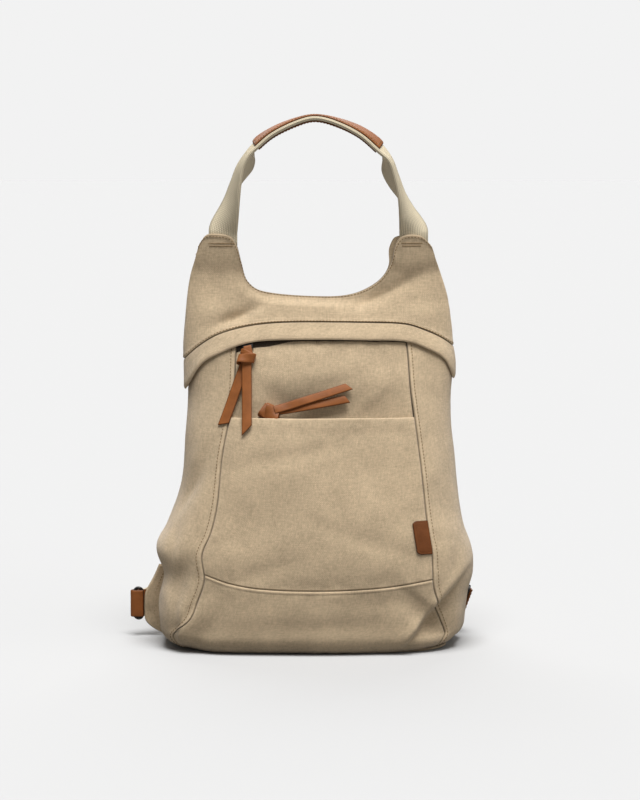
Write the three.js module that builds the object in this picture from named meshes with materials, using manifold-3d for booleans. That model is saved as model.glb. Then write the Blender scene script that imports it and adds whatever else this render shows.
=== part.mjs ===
import * as THREE from 'three';
import { mergeVertices } from 'three/addons/utils/BufferGeometryUtils.js';
import { RoundedBoxGeometry } from 'three/addons/geometries/RoundedBoxGeometry.js';
import Module from 'manifold-3d';

// Anti-theft backpack standing on its base, in millimetres.
// X runs to the right, Y away from the viewer and Z up. The front faces -Y.

// Overall sizes of the bag
const bodyHeight = 368; // floor to the top of the two ears
const halfWidth = 141; // centre to the widest point of one side
const halfDepth = 58; // centre to the front or back of the base
const baseRadius = 16; // round edge between the walls and the base
const cornerLift = 6; // how far the soft lower corners rise off the floor
const liftReach = 70; // height at which that rise has died out
const foldDepth = 6; // depth of the deepest fold in the canvas

// Materials' thicknesses and clearances
const canvas = 2;
const clearance = 0.3; // between pieces that touch
const stackGap = 0.6; // between cloth layers that lie on each other
const seamHalf = clearance / 2;
const baseGap = 0.8; // round the edge of the base panel
const pocketMouth = 9; // how far the slip pocket stands open
const mouthFade = 40; // height over which the front recovers above the mouth
const pocketFade = 110; // depth over which the pocket closes below its mouth

// Flap over the front zip
const flapThickness = 2.4;
const flapStand = 4.5; // how far its hem stands off the front

// Zips
const tapeThickness = 0.9;
const coilThickness = 1.6;
const coilWidth = 5;
const backZipWidth = 15;
const pocketTapeWidth = 9;
const pocketZipSink = 4; // from the pocket's mouth down to the zip in it
const sliderLength = 10;
const sliderWidth = 6.4;
const sliderPlate = 1.8;
const bailWire = 1.2;
const bailRise = 1.6; // free height under the slider's bail

// Leather
const leather = 1.3;
const loopLeather = 1; // the thong where it is pared thin to pass the bail
const thongWidth = 8.6;
const knotSize = { across: 15, along: 12, thick: 7.5 };
const thongTail = 69; // longest tail of a puller, past its knot
const tagLength = 22;
const labelThickness = 1.2;
const labelSize = { width: 13.6, height: 29, corner: 2.4 };
const endLeather = 1.8;

// Carrying webbing
const webbingWidth = 24;
const webbingThickness = 1.6;
const foldGap = 0.4; // between the handle's two layers where it is folded flat
const handleRise = 103; // top of the ears to the crest of the handle
const handleReach = 73.5; // centre to the handle's folded edge at an ear
const handleTuck = 11; // length of webbing sewn between the ear's layers
const strapWidth = 25;
const strapThickness = 2.2;

// Lower corner fittings
const tabThickness = 3;
const ringWire = 2.6;
const ringHeight = 31;
const ringWidth = 10;
const ringCentre = 30; // height of both rings

// Section of the body at each height: half widths to the left and right, distance of the front
// and the back from the centre plane, place of the side line, and how square the corners are
const bodySections = [
  { at: 0.0, left: 0.965, right: 0.9, front: 1.0, back: 0.97, side: 0.1, power: 3.6 },
  { at: 0.08, left: 1.0, right: 0.915, front: 1.02, back: 0.99, side: 0.1, power: 3.4 },
  { at: 0.122, left: 1.0, right: 0.945, front: 1.02, back: 0.985, side: 0.12, power: 3.2 },
  { at: 0.18, left: 0.962, right: 0.985, front: 1.0, back: 0.97, side: 0.15, power: 3.1 },
  { at: 0.24, left: 1.012, right: 0.972, front: 0.97, back: 0.955, side: 0.18, power: 3.0 },
  { at: 0.29, left: 0.965, right: 0.943, front: 0.925, back: 0.94, side: 0.2, power: 2.9 },
  { at: 0.323, left: 0.935, right: 0.922, front: 0.885, back: 0.925, side: 0.22, power: 2.8 },
  { at: 0.383, left: 0.883, right: 0.9, front: 0.8, back: 0.9, side: 0.25, power: 2.7 },
  { at: 0.446, left: 0.848, right: 0.88, front: 0.69, back: 0.87, side: 0.28, power: 2.6 },
  { at: 0.543, left: 0.83, right: 0.848, front: 0.5, back: 0.82, side: 0.33, power: 2.5 },
  { at: 0.62, left: 0.82, right: 0.843, front: 0.32, back: 0.77, side: 0.38, power: 2.4 },
  { at: 0.704, left: 0.845, right: 0.86, front: 0.1, back: 0.71, side: 0.42, power: 2.4 },
  { at: 0.76, left: 0.838, right: 0.85, front: -0.06, back: 0.665, side: 0.45, power: 2.5 },
  { at: 0.807, left: 0.823, right: 0.832, front: -0.2, back: 0.64, side: 0.47, power: 2.8 },
  { at: 0.845, left: 0.812, right: 0.815, front: -0.33, back: 0.615, side: 0.485, power: 3.2 },
  { at: 0.897, left: 0.789, right: 0.775, front: -0.42, back: 0.59, side: 0.5, power: 4 },
  { at: 0.948, left: 0.75, right: 0.73, front: -0.43, back: 0.575, side: 0.5, power: 5 },
  { at: 0.976, left: 0.73, right: 0.705, front: -0.43, back: 0.573, side: 0.5, power: 5 },
  { at: 1.0, left: 0.7, right: 0.675, front: -0.43, back: 0.57, side: 0.5, power: 5 },
];

// Seams between the front and the side panels, as shares of the half width at each height
const sideSeams = [
  { at: 0.0, left: 0.9, right: 0.87 },
  { at: 0.04, left: 0.905, right: 0.895 },
  { at: 0.082, left: 0.787, right: 0.845 },
  { at: 0.12, left: 0.752, right: 0.79 },
  { at: 0.18, left: 0.727, right: 0.732 },
  { at: 0.323, left: 0.69, right: 0.746 },
  { at: 0.455, left: 0.713, right: 0.742 },
  { at: 0.563, left: 0.665, right: 0.727 },
  { at: 0.69, left: 0.607, right: 0.667 },
  { at: 0.8, left: 0.58, right: 0.635 },
];

// Arched seam under the yoke and the hem of the flap: height at each share of the width there
const archLines = [
  { across: -1.0, seam: 0.695, hem: 0.622 },
  { across: -0.86, seam: 0.734, hem: 0.684 },
  { across: -0.72, seam: 0.761, hem: 0.711 },
  { across: -0.5, seam: 0.78, hem: 0.737 },
  { across: -0.2, seam: 0.788, hem: 0.744 },
  { across: 0.38, seam: 0.787, hem: 0.743 },
  { across: 0.66, seam: 0.782, hem: 0.739 },
  { across: 0.81, seam: 0.766, hem: 0.72 },
  { across: 0.925, seam: 0.747, hem: 0.695 },
  { across: 1.0, seam: 0.728, hem: 0.648 },
];

// Seam under the front pocket: height at each share of the width between the side seams
const pocketSeam = [
  { across: 0.0, up: 0.193 },
  { across: 0.11, up: 0.174 },
  { across: 0.26, up: 0.162 },
  { across: 0.53, up: 0.158 },
  { across: 0.8, up: 0.166 },
  { across: 1.0, up: 0.181 },
];
const pocketTop = 0.563 * bodyHeight;

// Upper outline, from the left ear over the neckline to the right ear
const neckline = [
  { share: 0.0, across: -0.735, up: 0.97 },
  { share: 0.05, across: -0.69, up: 0.996 },
  { share: 0.12, across: -0.62, up: 1.0 },
  { share: 0.2, across: -0.53, up: 0.992 },
  { share: 0.245, across: -0.497, up: 0.97 },
  { share: 0.3, across: -0.47, up: 0.93 },
  { share: 0.36, across: -0.435, up: 0.885 },
  { share: 0.43, across: -0.335, up: 0.859 },
  { share: 0.56, across: 0.0, up: 0.847 },
  { share: 0.66, across: 0.22, up: 0.853 },
  { share: 0.735, across: 0.375, up: 0.883 },
  { share: 0.79, across: 0.455, up: 0.925 },
  { share: 0.85, across: 0.485, up: 0.972 },
  { share: 0.9, across: 0.53, up: 0.995 },
  { share: 0.96, across: 0.645, up: 0.994 },
  { share: 1.0, across: 0.71, up: 0.965 },
];

// Dents and soft folds of the front: centre, reach along and across, direction and depth
const folds = [
  { name: 'yoke_left', across: -0.5, up: 0.805, long: 0.2, wide: 0.08, turn: 20, depth: 0.5 },
  { name: 'yoke_right', across: 0.44, up: 0.872, long: 0.3, wide: 0.07, turn: 25, depth: 0.45 },
  { name: 'waist_left', across: -0.8, up: 0.395, long: 0.2, wide: 0.07, turn: 60, depth: 0.6 },
  { name: 'pocket_left', across: -0.35, up: 0.33, long: 0.35, wide: 0.14, turn: 35, depth: 0.35 },
  { name: 'pocket_right', across: 0.3, up: 0.42, long: 0.4, wide: 0.16, turn: -30, depth: 0.3 },
  { name: 'corner_right', across: 0.77, up: 0.07, long: 0.26, wide: 0.1, turn: -43, depth: 1.35 },
  { name: 'pinch_right', across: 0.72, up: 0.115, long: 0.22, wide: 0.05, turn: -43, depth: -0.4 },
  { name: 'roll_left', across: -0.86, up: 0.17, long: 0.18, wide: 0.06, turn: 75, depth: 0.55 },
  { name: 'corner_left', across: -0.72, up: 0.05, long: 0.2, wide: 0.07, turn: 50, depth: 0.4 },
];

// The handle from the left ear to the right one: place of its folded edge, and how far its two
// layers have turned from lying front to back towards lying flat across the view, in degrees
const handleSections = [
  { share: 0.0, across: -1.0, up: 0.0, outer: 90, inner: 90 },
  { share: 0.09, across: -0.98, up: 0.135, outer: 57, inner: 54 },
  { share: 0.17, across: -0.963, up: 0.27, outer: 34, inner: 28 },
  { share: 0.25, across: -0.94, up: 0.43, outer: 20, inner: 2 },
  { share: 0.31, across: -0.9, up: 0.57, outer: 13, inner: -16 },
  { share: 0.35, across: -0.83, up: 0.67, outer: 9, inner: -12 },
  { share: 0.385, across: -0.73, up: 0.745, outer: 10, inner: 10 },
  { share: 0.43, across: -0.53, up: 0.862, outer: 8, inner: 8 },
  { share: 0.48, across: -0.24, up: 0.962, outer: 4, inner: 4 },
  { share: 0.53, across: -0.02, up: 0.997, outer: 3, inner: 3 },
  { share: 0.58, across: 0.22, up: 0.958, outer: 5, inner: 5 },
  { share: 0.64, across: 0.52, up: 0.852, outer: 12, inner: 12 },
  { share: 0.685, across: 0.735, up: 0.72, outer: 14, inner: 14 },
  { share: 0.73, across: 0.87, up: 0.63, outer: 8, inner: -14 },
  { share: 0.79, across: 0.94, up: 0.5, outer: 8, inner: -18 },
  { share: 0.85, across: 1.0, up: 0.32, outer: 15, inner: 0 },
  { share: 0.92, across: 1.02, up: 0.16, outer: 42, inner: 38 },
  { share: 1.0, across: 1.03, up: 0.0, outer: 90, inner: 90 },
];
const gripStart = 0.385;
const gripEnd = 0.685;

// Back panel's width, as a share of the body's
const backEdgeShare = 0.9;

const { lerp, clamp, smoothstep, degToRad } = THREE.MathUtils;
const vec = (x, y, z) => new THREE.Vector3(x, y, z);
const range = (count) => Array.from({ length: count }, (_, i) => i);
const shares = (steps) => range(steps + 1).map((i) => i / steps);

// Smooth reading of a table between its rows, in every column
function readTable(table, key, value) {
  const last = table.length - 1;
  let i = 0;
  while (i < last - 1 && value > table[i + 1][key]) i++;
  const [before, from, to, after] = [i - 1, i, i + 1, i + 2].map((k) => table[clamp(k, 0, last)]);
  const step = to[key] - from[key];
  const t = clamp((value - from[key]) / step, 0, 1);
  const row = {};
  for (const column of Object.keys(from)) {
    if (typeof from[column] !== 'number') continue;
    const startSlope = (to[column] - before[column]) / (to[key] - before[key]);
    const endSlope = (after[column] - from[column]) / (after[key] - from[key]);
    row[column] =
      from[column] * (1 + 2 * t) * (1 - t) ** 2 +
      startSlope * step * t * (1 - t) ** 2 +
      to[column] * t * t * (3 - 2 * t) +
      endSlope * step * t * t * (t - 1);
  }
  return row;
}

// Walls of the body: height and inset along the run up the wall, past the round lower edge
const edgeRun = (baseRadius * Math.PI) / 2;

function runHeight(run) {
  if (run < edgeRun) return baseRadius * (1 - Math.cos(run / baseRadius));
  return baseRadius + run - edgeRun;
}

function runInset(run) {
  return run < edgeRun ? baseRadius * (1 - Math.sin(run / baseRadius)) : 0;
}

function heightRun(height) {
  if (height < baseRadius) return baseRadius * Math.acos(1 - Math.max(height, 0) / baseRadius);
  return edgeRun + height - baseRadius;
}

function sectionAt(height) {
  const row = readTable(bodySections, 'at', height / bodyHeight);
  return {
    left: row.left * halfWidth,
    right: row.right * halfWidth,
    front: (row.front + row.side) * halfDepth,
    back: (row.back - row.side) * halfDepth,
    side: row.side * halfDepth,
    power: row.power,
  };
}

// Point of the smooth body, by angle round it (0 at the front, 90 degrees at the right) and run
function hullPoint(angle, run) {
  const s = sectionAt(runHeight(run));
  const inset = runInset(run);
  const [sin, cos] = [Math.sin(angle), Math.cos(angle)];
  const reach = (Math.abs(sin) ** s.power + Math.abs(cos) ** s.power) ** (-1 / s.power);
  const halfX = (sin < 0 ? s.left : s.right) - inset;
  const halfY = (cos > 0 ? s.front : s.back) - inset;
  return vec(sin * reach * halfX, s.side - cos * reach * halfY, runHeight(run));
}

// Angle at which the front of the body stands at a given place across
function frontAngle(across, height) {
  const s = sectionAt(height);
  const half = (across < 0 ? s.left : s.right) - runInset(heightRun(height));
  const u = clamp(across / half, -1, 1);
  return Math.atan2(u, (1 - Math.abs(u) ** s.power) ** (1 / s.power));
}

// Depth of the folds at a point of the front, fading out round the sides
function foldAt(point, angle) {
  let depth = 0;
  for (const fold of folds) {
    const dx = point.x / halfWidth - fold.across;
    const dz = (point.z - fold.up * bodyHeight) / halfWidth;
    const turn = degToRad(fold.turn);
    const along = (dx * Math.cos(turn) + dz * Math.sin(turn)) / fold.long;
    const across = (dz * Math.cos(turn) - dx * Math.sin(turn)) / fold.wide;
    depth += fold.depth * foldDepth * Math.exp(-along * along - across * across);
  }
  return depth * smoothstep(Math.cos(angle), -0.3, 0.25);
}

// The soft lower corners are raised a little off the floor
function settle(point) {
  const out = smoothstep(Math.abs(point.x), 0.62 * halfWidth, 1.02 * halfWidth);
  const fade = clamp(1 - point.z / liftReach, 0, 1);
  point.z += cornerLift * out * fade * fade;
  return point;
}

// Point of the body at a depth below its outer surface
function bodyPoint(angle, run, depth) {
  const step = 0.02;
  const around = hullPoint(angle + step, run).sub(hullPoint(angle - step, run));
  const upwards = hullPoint(angle, run + 1).sub(hullPoint(angle, run - 1));
  const point = hullPoint(angle, run);
  const inwards = depth + foldAt(point, angle);
  point.addScaledVector(around.cross(upwards).normalize(), -inwards);
  return settle(point);
}

const frontPoint = (x, z, depth) => bodyPoint(frontAngle(x, z), heightRun(z), depth);

// Frame of axes on the front, to seat a hard piece on it: X across, Y into the bag, Z up
function frontFrame(x, z, depthAt) {
  const pointAt = (dx, dz) => frontPoint(x + dx, z + dz, depthAt(x + dx, z + dz));
  const across = pointAt(2, 0).sub(pointAt(-2, 0)).normalize();
  const inwards = pointAt(0, 2).sub(pointAt(0, -2)).cross(across).normalize();
  return new THREE.Matrix4()
    .makeBasis(across, inwards, across.clone().cross(inwards))
    .setPosition(pointAt(0, 0));
}

// Closed wall between two grids of points, rows by columns
function wallBetween(outer, inner) {
  const rows = outer.length;
  const columns = outer[0].length;
  const points = [...outer.flat(), ...inner.flat()];
  const at = (side, r, c) => side * rows * columns + r * columns + c;
  const index = [];
  const quad = (a, b, c, d) => index.push(a, b, c, a, c, d);
  for (let r = 0; r < rows - 1; r++) {
    for (let c = 0; c < columns - 1; c++) {
      quad(at(0, r, c), at(0, r, c + 1), at(0, r + 1, c + 1), at(0, r + 1, c));
      quad(at(1, r, c), at(1, r + 1, c), at(1, r + 1, c + 1), at(1, r, c + 1));
    }
  }
  for (let c = 0; c < columns - 1; c++) {
    quad(at(0, 0, c + 1), at(0, 0, c), at(1, 0, c), at(1, 0, c + 1));
    quad(at(0, rows - 1, c), at(0, rows - 1, c + 1), at(1, rows - 1, c + 1), at(1, rows - 1, c));
  }
  for (let r = 0; r < rows - 1; r++) {
    quad(at(0, r, 0), at(0, r + 1, 0), at(1, r + 1, 0), at(1, r, 0));
    quad(at(0, r + 1, columns - 1), at(0, r, columns - 1), at(1, r, columns - 1), at(1, r + 1, columns - 1));
  }
  return facingOut(points, index);
}

// Geometry of points and triangles, with its faces turned outwards
function facingOut(points, index) {
  let volume = 0;
  for (let i = 0; i < index.length; i += 3) {
    const [a, b, c] = [points[index[i]], points[index[i + 1]], points[index[i + 2]]];
    volume += a.dot(b.clone().cross(c));
  }
  if (volume < 0) index.reverse();
  const geometry = new THREE.BufferGeometry().setFromPoints(points);
  geometry.setIndex(index);
  return geometry;
}

// Wall whose two faces come from one function of column share, row share and depth share
function wall(columns, rows, pointAt) {
  const grid = (face) => rows.map((t) => columns.map((s) => pointAt(s, t, face)));
  return wallBetween(grid(0), grid(1));
}

// Solid swept through closed sections that all have the same number of points. Each section runs
// out along one face and back along the other, and the faces' triangles match across the middle,
// so the layers of a twisted piece stay parallel
function loft(sections) {
  const count = sections[0].length;
  const half = count / 2;
  const points = sections.flat();
  const index = [];
  for (let i = 0; i < sections.length - 1; i++) {
    for (let k = 0; k < count; k++) {
      const [a, b] = [i * count + k, i * count + ((k + 1) % count)];
      if (k % half < (half - 1) / 2) index.push(a, b, b + count, a, b + count, a + count);
      else index.push(a, b, a + count, b, b + count, a + count);
    }
  }
  const lastRing = (sections.length - 1) * count;
  for (let k = 0; k < half - 1; k++) {
    const [a, b, c, d] = [k, k + 1, count - 2 - k, count - 1 - k];
    index.push(a, c, b, a, d, c);
    index.push(lastRing + a, lastRing + b, lastRing + c, lastRing + a, lastRing + c, lastRing + d);
  }
  return facingOut(points, index);
}

const wasm = await Module();
wasm.setup();

function toSolid(geometry) {
  const bare = geometry.clone();
  bare.deleteAttribute('normal');
  bare.deleteAttribute('uv');
  const merged = mergeVertices(bare, 1e-3);
  return new wasm.Manifold(
    new wasm.Mesh({
      numProp: 3,
      vertProperties: merged.attributes.position.array,
      triVerts: new Uint32Array(merged.index.array),
    }),
  );
}

function toGeometry(solid) {
  const mesh = solid.getMesh();
  const geometry = new THREE.BufferGeometry();
  geometry.setAttribute('position', new THREE.BufferAttribute(mesh.vertProperties, 3));
  geometry.setIndex(new THREE.BufferAttribute(mesh.triVerts, 1));
  return geometry;
}

const joined = (...geometries) => {
  const solids = geometries.map(toSolid);
  return toGeometry(solids.slice(1).reduce((whole, solid) => whole.add(solid), solids[0]));
};

// Finishes
const finish = (color, roughness, metalness = 0) => () =>
  new THREE.MeshStandardMaterial({ color, roughness, metalness });
const canvasFinish = finish('#b9a27c', 0.95);
const webbingFinish = finish('#d3c7a8', 0.9);
const leatherFinish = finish('#a4602f', 0.6);
const labelFinish = finish('#8a4c22', 0.6);
const tapeFinish = finish('#5b4d3d', 0.85);
const metalFinish = finish('#4a4743', 0.35, 1);

const bag = new THREE.Group();

function addPiece(name, geometry, material, parent = bag) {
  const mesh = new THREE.Mesh(geometry, material());
  mesh.name = name;
  parent.add(mesh);
  return mesh;
}

// Share of the width at which an angle stands
function acrossAt(angle, height) {
  const { power } = sectionAt(height);
  const sum = Math.abs(Math.sin(angle)) ** power + Math.abs(Math.cos(angle)) ** power;
  return Math.sin(angle) * sum ** (-1 / power);
}

const archAt = (across, line) => readTable(archLines, 'across', across)[line] * bodyHeight;
const archHeight = (angle, height, line) => archAt(acrossAt(angle, height), line);
const halfAt = (side, height) => sectionAt(height)[side] - runInset(heightRun(height));
const seamAcross = (side, height) => {
  const share = readTable(sideSeams, 'at', height / bodyHeight)[side];
  return (side === 'left' ? -share : share) * halfAt(side, height);
};
const pocketFoot = (share) => readTable(pocketSeam, 'across', share).up * bodyHeight;

// Height at which a column of the body meets one of the arched lines
function meetArch(line, angleAt) {
  let height = 0.72 * bodyHeight;
  for (let pass = 0; pass < 4; pass++) height = archHeight(angleAt(height), height, line);
  return height;
}

// Turn round the body that moves a point of its surface by a length
function turnFor(length, angle, height) {
  const run = heightRun(height);
  const step = 0.01;
  return (length * step) / hullPoint(angle + step, run).distanceTo(hullPoint(angle, run));
}

// Edge of the back panel: a fixed share of the width on the back of the body
function backEdge(height) {
  const { power } = sectionAt(height);
  return Math.PI - Math.atan2(backEdgeShare, (1 - backEdgeShare ** power) ** (1 / power));
}

// Yoke: front and back sheets above the arched seam, drawn together along the neckline and held
// apart in the ears by the webbing between them
const yokeGap = 0.4;
const earHalf = webbingThickness + foldGap / 2 + clearance;

function yokePoint(s, t, face, away) {
  const bottomAngle = lerp(-Math.PI / 2, Math.PI / 2, s);
  const bottomAcross = acrossAt(bottomAngle, archLines[4].seam * bodyHeight);
  const top = readTable(neckline, 'share', s);
  const topSection = sectionAt(top.up * bodyHeight);
  const half = top.across < 0 ? topSection.left : topSection.right;
  const isEdge = s === 0 || s === 1;
  const topAcross = isEdge ? bottomAcross : clamp((top.across * halfWidth) / half, -1, 1);
  const height = lerp(archAt(bottomAcross, 'seam') + clearance / 2, top.up * bodyHeight, t);
  const u = lerp(bottomAcross, topAcross, t);
  const { power, side: middle } = sectionAt(height);
  const angle = Math.atan2(u, (1 - Math.abs(u) ** power) ** (1 / power));
  const turned = away < 0 ? angle : Math.PI - angle;
  const point = bodyPoint(turned, heightRun(height), face * canvas);
  const outwards = Math.max(away * (point.y - middle), clearance / 2);
  const inEar = smoothstep(Math.abs(point.x) / halfWidth, 0.46, 0.51);
  const high = smoothstep(height / bodyHeight, 0.9, 0.95);
  const closing = smoothstep(t, 0.55, 1) * (1 - inEar * smoothstep(height / bodyHeight, 0.9, 0.94));
  const closed = lerp(outwards, yokeGap / 2 + (1 - face) * canvas, closing);
  point.y = middle + away * lerp(closed, earHalf + (1 - face) * canvas, inEar * high);
  return point;
}

const yokeColumns = shares(30);
const yokeRows = [0, 0.2, 0.4, 0.6, 0.8, 0.92, 1];
addPiece('yoke_front', wall(yokeColumns, yokeRows, (s, t, f) => yokePoint(s, t, f, -1)), canvasFinish);
addPiece('yoke_back', wall(yokeColumns, yokeRows, (s, t, f) => yokePoint(s, t, f, 1)), canvasFinish);

// Front between the side seams: place of a column share at a height
function frontAcross(share, height) {
  const left = seamAcross('left', height) + seamHalf;
  const right = seamAcross('right', height) - seamHalf;
  return lerp(left, right, share);
}
const shareAcross = (x, height) => {
  return (x - frontAcross(0, height)) / (frontAcross(1, height) - frontAcross(0, height));
};
const archOver = (x, height, line) => archHeight(frontAngle(x, height), height, line);

// Side panel's columns: from the front seam round to the back panel
function sideAngle(side, share, height) {
  const sign = side === 'left' ? -1 : 1;
  const front = frontAngle(seamAcross(side, height) + sign * seamHalf, height);
  return lerp(front, sign * backEdge(height), share);
}

// Back panel's columns, from its right edge to its left one
function backAngle(share, height) {
  const edge = backEdge(height) + turnFor(clearance, backEdge(height), height);
  return lerp(edge, 2 * Math.PI - edge, share);
}

// Rows up a wall: the same shares of the levels on both sides of every seam
const lowShares = [0, 0.09, 0.19, 0.3, 0.43, 0.6, 0.8];
const pocketSteps = 8;
const upperSteps = 3;
const hemSteps = 2;
const wallRows = range(lowShares.length + pocketSteps + upperSteps + hemSteps + 1);

function wallRun(row, foot, hem, top) {
  const levels = [foot, pocketTop, hem, top].map(heightRun);
  const steps = [pocketSteps, upperSteps, hemSteps];
  if (row < lowShares.length) return lowShares[row] * levels[0];
  let above = row - lowShares.length;
  let k = 0;
  while (k < steps.length - 1 && above >= steps[k]) above -= steps[k++];
  return lerp(levels[k], levels[k + 1], above / steps[k]);
}

// Flap: the arched band round the front, from one edge of the back panel to the other, its columns
// those of the panels below it
const sideColumns = 9;
const frontColumns = 14;
function flapAngle(column, height) {
  if (column < sideColumns) return sideAngle('left', 1 - column / sideColumns, height);
  const share = (column - sideColumns) / frontColumns;
  if (share <= 1) return frontAngle(frontAcross(share, height), height);
  return sideAngle('right', (column - sideColumns - frontColumns) / sideColumns, height);
}

function flapPoint(column, t, face) {
  const angleAt = (height) => flapAngle(column, height);
  const hem = meetArch('hem', angleAt);
  const seam = meetArch('seam', angleAt) - seamHalf;
  const height = lerp(hem, seam, t);
  return bodyPoint(angleAt(height), heightRun(height), face * flapThickness - flapStand * (1 - t));
}

const flapColumns = range(2 * sideColumns + frontColumns + 1);
addPiece('front_flap', wall(flapColumns, shares(3), flapPoint), canvasFinish);

// Depth below the outer surface of the cloth that lies under the flap
function underFlap(angle, height) {
  const [hem, seam] = [archHeight(angle, height, 'hem'), archHeight(angle, height, 'seam')];
  return clamp((height - hem) / (seam - hem), 0, 1) * (flapThickness + stackGap);
}

// Side panels: from the front seams round to the back panel, down to the base
function sidePoint(side, s, row, face) {
  const angleAt = (height) => sideAngle(side, s, height);
  const foot = pocketFoot(side === 'left' ? 0 : 1);
  const run = wallRun(row, foot, meetArch('hem', angleAt), meetArch('seam', angleAt) - seamHalf);
  const angle = angleAt(runHeight(run));
  return bodyPoint(angle, run, face * canvas + underFlap(angle, runHeight(run)));
}
for (const side of ['left', 'right']) {
  const panel = wall(shares(sideColumns), wallRows, (s, row, f) => sidePoint(side, s, row, f));
  addPiece(`side_${side}`, panel, canvasFinish);
}

// Back panel, up to the back zip under the yoke
function backPoint(s, row, face) {
  const angleAt = (height) => backAngle(s, height);
  const foot = lerp(pocketFoot(1), pocketFoot(0), s);
  const top = meetArch('seam', angleAt) - backZipWidth;
  const run = wallRun(row, foot, Math.min(meetArch('hem', angleAt), top - 1), top);
  return bodyPoint(backAngle(s, runHeight(run)), run, face * canvas);
}
const backColumns = 12;
addPiece('back_panel', wall(shares(backColumns), wallRows, backPoint), canvasFinish);

// Base panel inside the lower rims of the walls
const rimAngles = [
  ...shares(frontColumns).map((s) => frontAngle(frontAcross(s, 0), 0)),
  ...shares(sideColumns).map((s) => sideAngle('right', s, 0)),
  ...shares(backColumns).map((s) => backAngle(s, 0)),
  ...shares(sideColumns).map((s) => 2 * Math.PI + sideAngle('left', 1 - s, 0)),
];
const rim = rimAngles.map((angle) => hullPoint(angle, -baseGap));

// Places where the rim crosses a line from front to back
function rimCrossings(x) {
  const crossings = [];
  rim.forEach((from, i) => {
    const to = rim[(i + 1) % rim.length];
    if (from.x <= x !== to.x <= x) crossings.push(lerp(from.y, to.y, (x - from.x) / (to.x - from.x)));
  });
  return [Math.min(...crossings), Math.max(...crossings)];
}
const rimLeft = Math.min(...rim.map((point) => point.x));
const rimRight = Math.max(...rim.map((point) => point.x));
const baseColumns = [0.006, 0.02, 0.05, 0.1, 0.18, 0.3, 0.5, 0.7, 0.82, 0.9, 0.95, 0.98, 0.994];

function basePoint(s, t, face) {
  const x = lerp(rimLeft, rimRight, s);
  const [front, back] = rimCrossings(x);
  return settle(vec(x, lerp(front, back, t), face * canvas));
}
addPiece('base_panel', wall(baseColumns, shares(3), basePoint), canvasFinish);

// Depth of the front behind the slip pocket, and of its recovery above the pocket's mouth
function frontDepth(x, height) {
  const share = clamp(shareAcross(x, height), 0, 1);
  const belly = 1 - Math.abs(2 * share - 1) ** 3;
  const above = smoothstep(height, pocketTop, pocketTop + mouthFade);
  const below = smoothstep(height, pocketTop - pocketFade, pocketTop);
  const open = pocketMouth * belly * (height > pocketTop ? 1 - above : below);
  return open + lerp(canvas + stackGap, stackGap, above);
}

function frontPiece(name, runAt, depthAt, rows, material = canvasFinish) {
  const geometry = wall(shares(frontColumns), rows, (s, t, face) => {
    const run = runAt(s, t);
    const height = runHeight(run);
    const x = frontAcross(s, height);
    const [outer, thickness] = depthAt(x, height);
    return bodyPoint(frontAngle(x, height), run, outer + face * thickness);
  });
  return addPiece(name, geometry, material);
}

// Height of an arched line over a column share of the front, shifted up or down
function frontArch(share, line, shift) {
  let height = 0.72 * bodyHeight;
  for (let pass = 0; pass < 4; pass++) {
    height = archOver(frontAcross(share, height), height, line) + shift;
  }
  return height;
}

const between = (bottomAt, topAt) => (s, t) => lerp(heightRun(bottomAt(s)), heightRun(topAt(s)), t);
const belowFoot = (s, t) => t * heightRun(pocketFoot(s) - seamHalf);
frontPiece('front_lower', belowFoot, () => [0, canvas], [...lowShares, 1]);
const aboveFoot = (s) => pocketFoot(s) + seamHalf;
frontPiece('front_pocket', between(aboveFoot, () => pocketTop), () => [0, canvas], shares(pocketSteps));
const zipDrop = coilWidth - 1; // how far the front zip's teeth reach below the flap's hem
frontPiece(
  'front_upper',
  between(aboveFoot, (s) => frontArch(s, 'hem', -zipDrop - clearance)),
  (x, height) => [frontDepth(x, height), canvas],
  [0, 0.25, 0.45, 0.58, 0.66, 0.695, 0.73, 0.79, 0.85, 0.92, 1],
);

// Front zip under the flap
const coilDepth = 1;
const tapeDepth = coilDepth + coilThickness + clearance;
const zipFoot = (s) => frontArch(s, 'hem', -zipDrop);
const zipHead = (s) => frontArch(s, 'seam', -seamHalf);
const coilHead = (s) => frontArch(s, 'hem', coilWidth - zipDrop);
const tapeLayer = () => [tapeDepth, tapeThickness];
const coilLayer = () => [coilDepth, coilThickness];
frontPiece('front_zip_tape', between(zipFoot, zipHead), tapeLayer, shares(2), tapeFinish);
frontPiece('front_zip_coil', between(zipFoot, coilHead), coilLayer, [0, 1], tapeFinish);

// Back zip between the yoke and the back panel
function backPiece(name, low, high, outer, thickness, material) {
  const geometry = wall(shares(backColumns), [0, 1], (s, t, face) => {
    const top = meetArch('seam', (height) => backAngle(s, height));
    const height = top - lerp(low, high, t);
    return bodyPoint(backAngle(s, height), heightRun(height), outer + face * thickness);
  });
  return addPiece(name, geometry, material);
}
const backCoil = (backZipWidth - coilWidth) / 2;
const backCoilDepth = -1.1;
backPiece('back_zip_tape', backZipWidth - clearance, clearance, 0.8, tapeThickness, tapeFinish);
backPiece('back_zip_coil', backZipWidth - backCoil, backCoil, backCoilDepth, coilThickness, tapeFinish);

// Zip of the inner pocket, just inside the mouth of the slip pocket
const pocketZip = { from: 0.2, to: 0.8, top: pocketTop - pocketZipSink };
const pocketTapeDepth = (x, z) => frontDepth(x, z) - clearance - tapeThickness;
addPiece(
  'pocket_zip_tape',
  wall(shares(8), [0, 1], (s, t, face) => {
    const height = pocketZip.top - pocketTapeWidth * (1 - t);
    const x = frontAcross(lerp(pocketZip.from, pocketZip.to, s), height);
    return frontPoint(x, height, pocketTapeDepth(x, height) + face * tapeThickness);
  }),
  tapeFinish,
);

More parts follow.
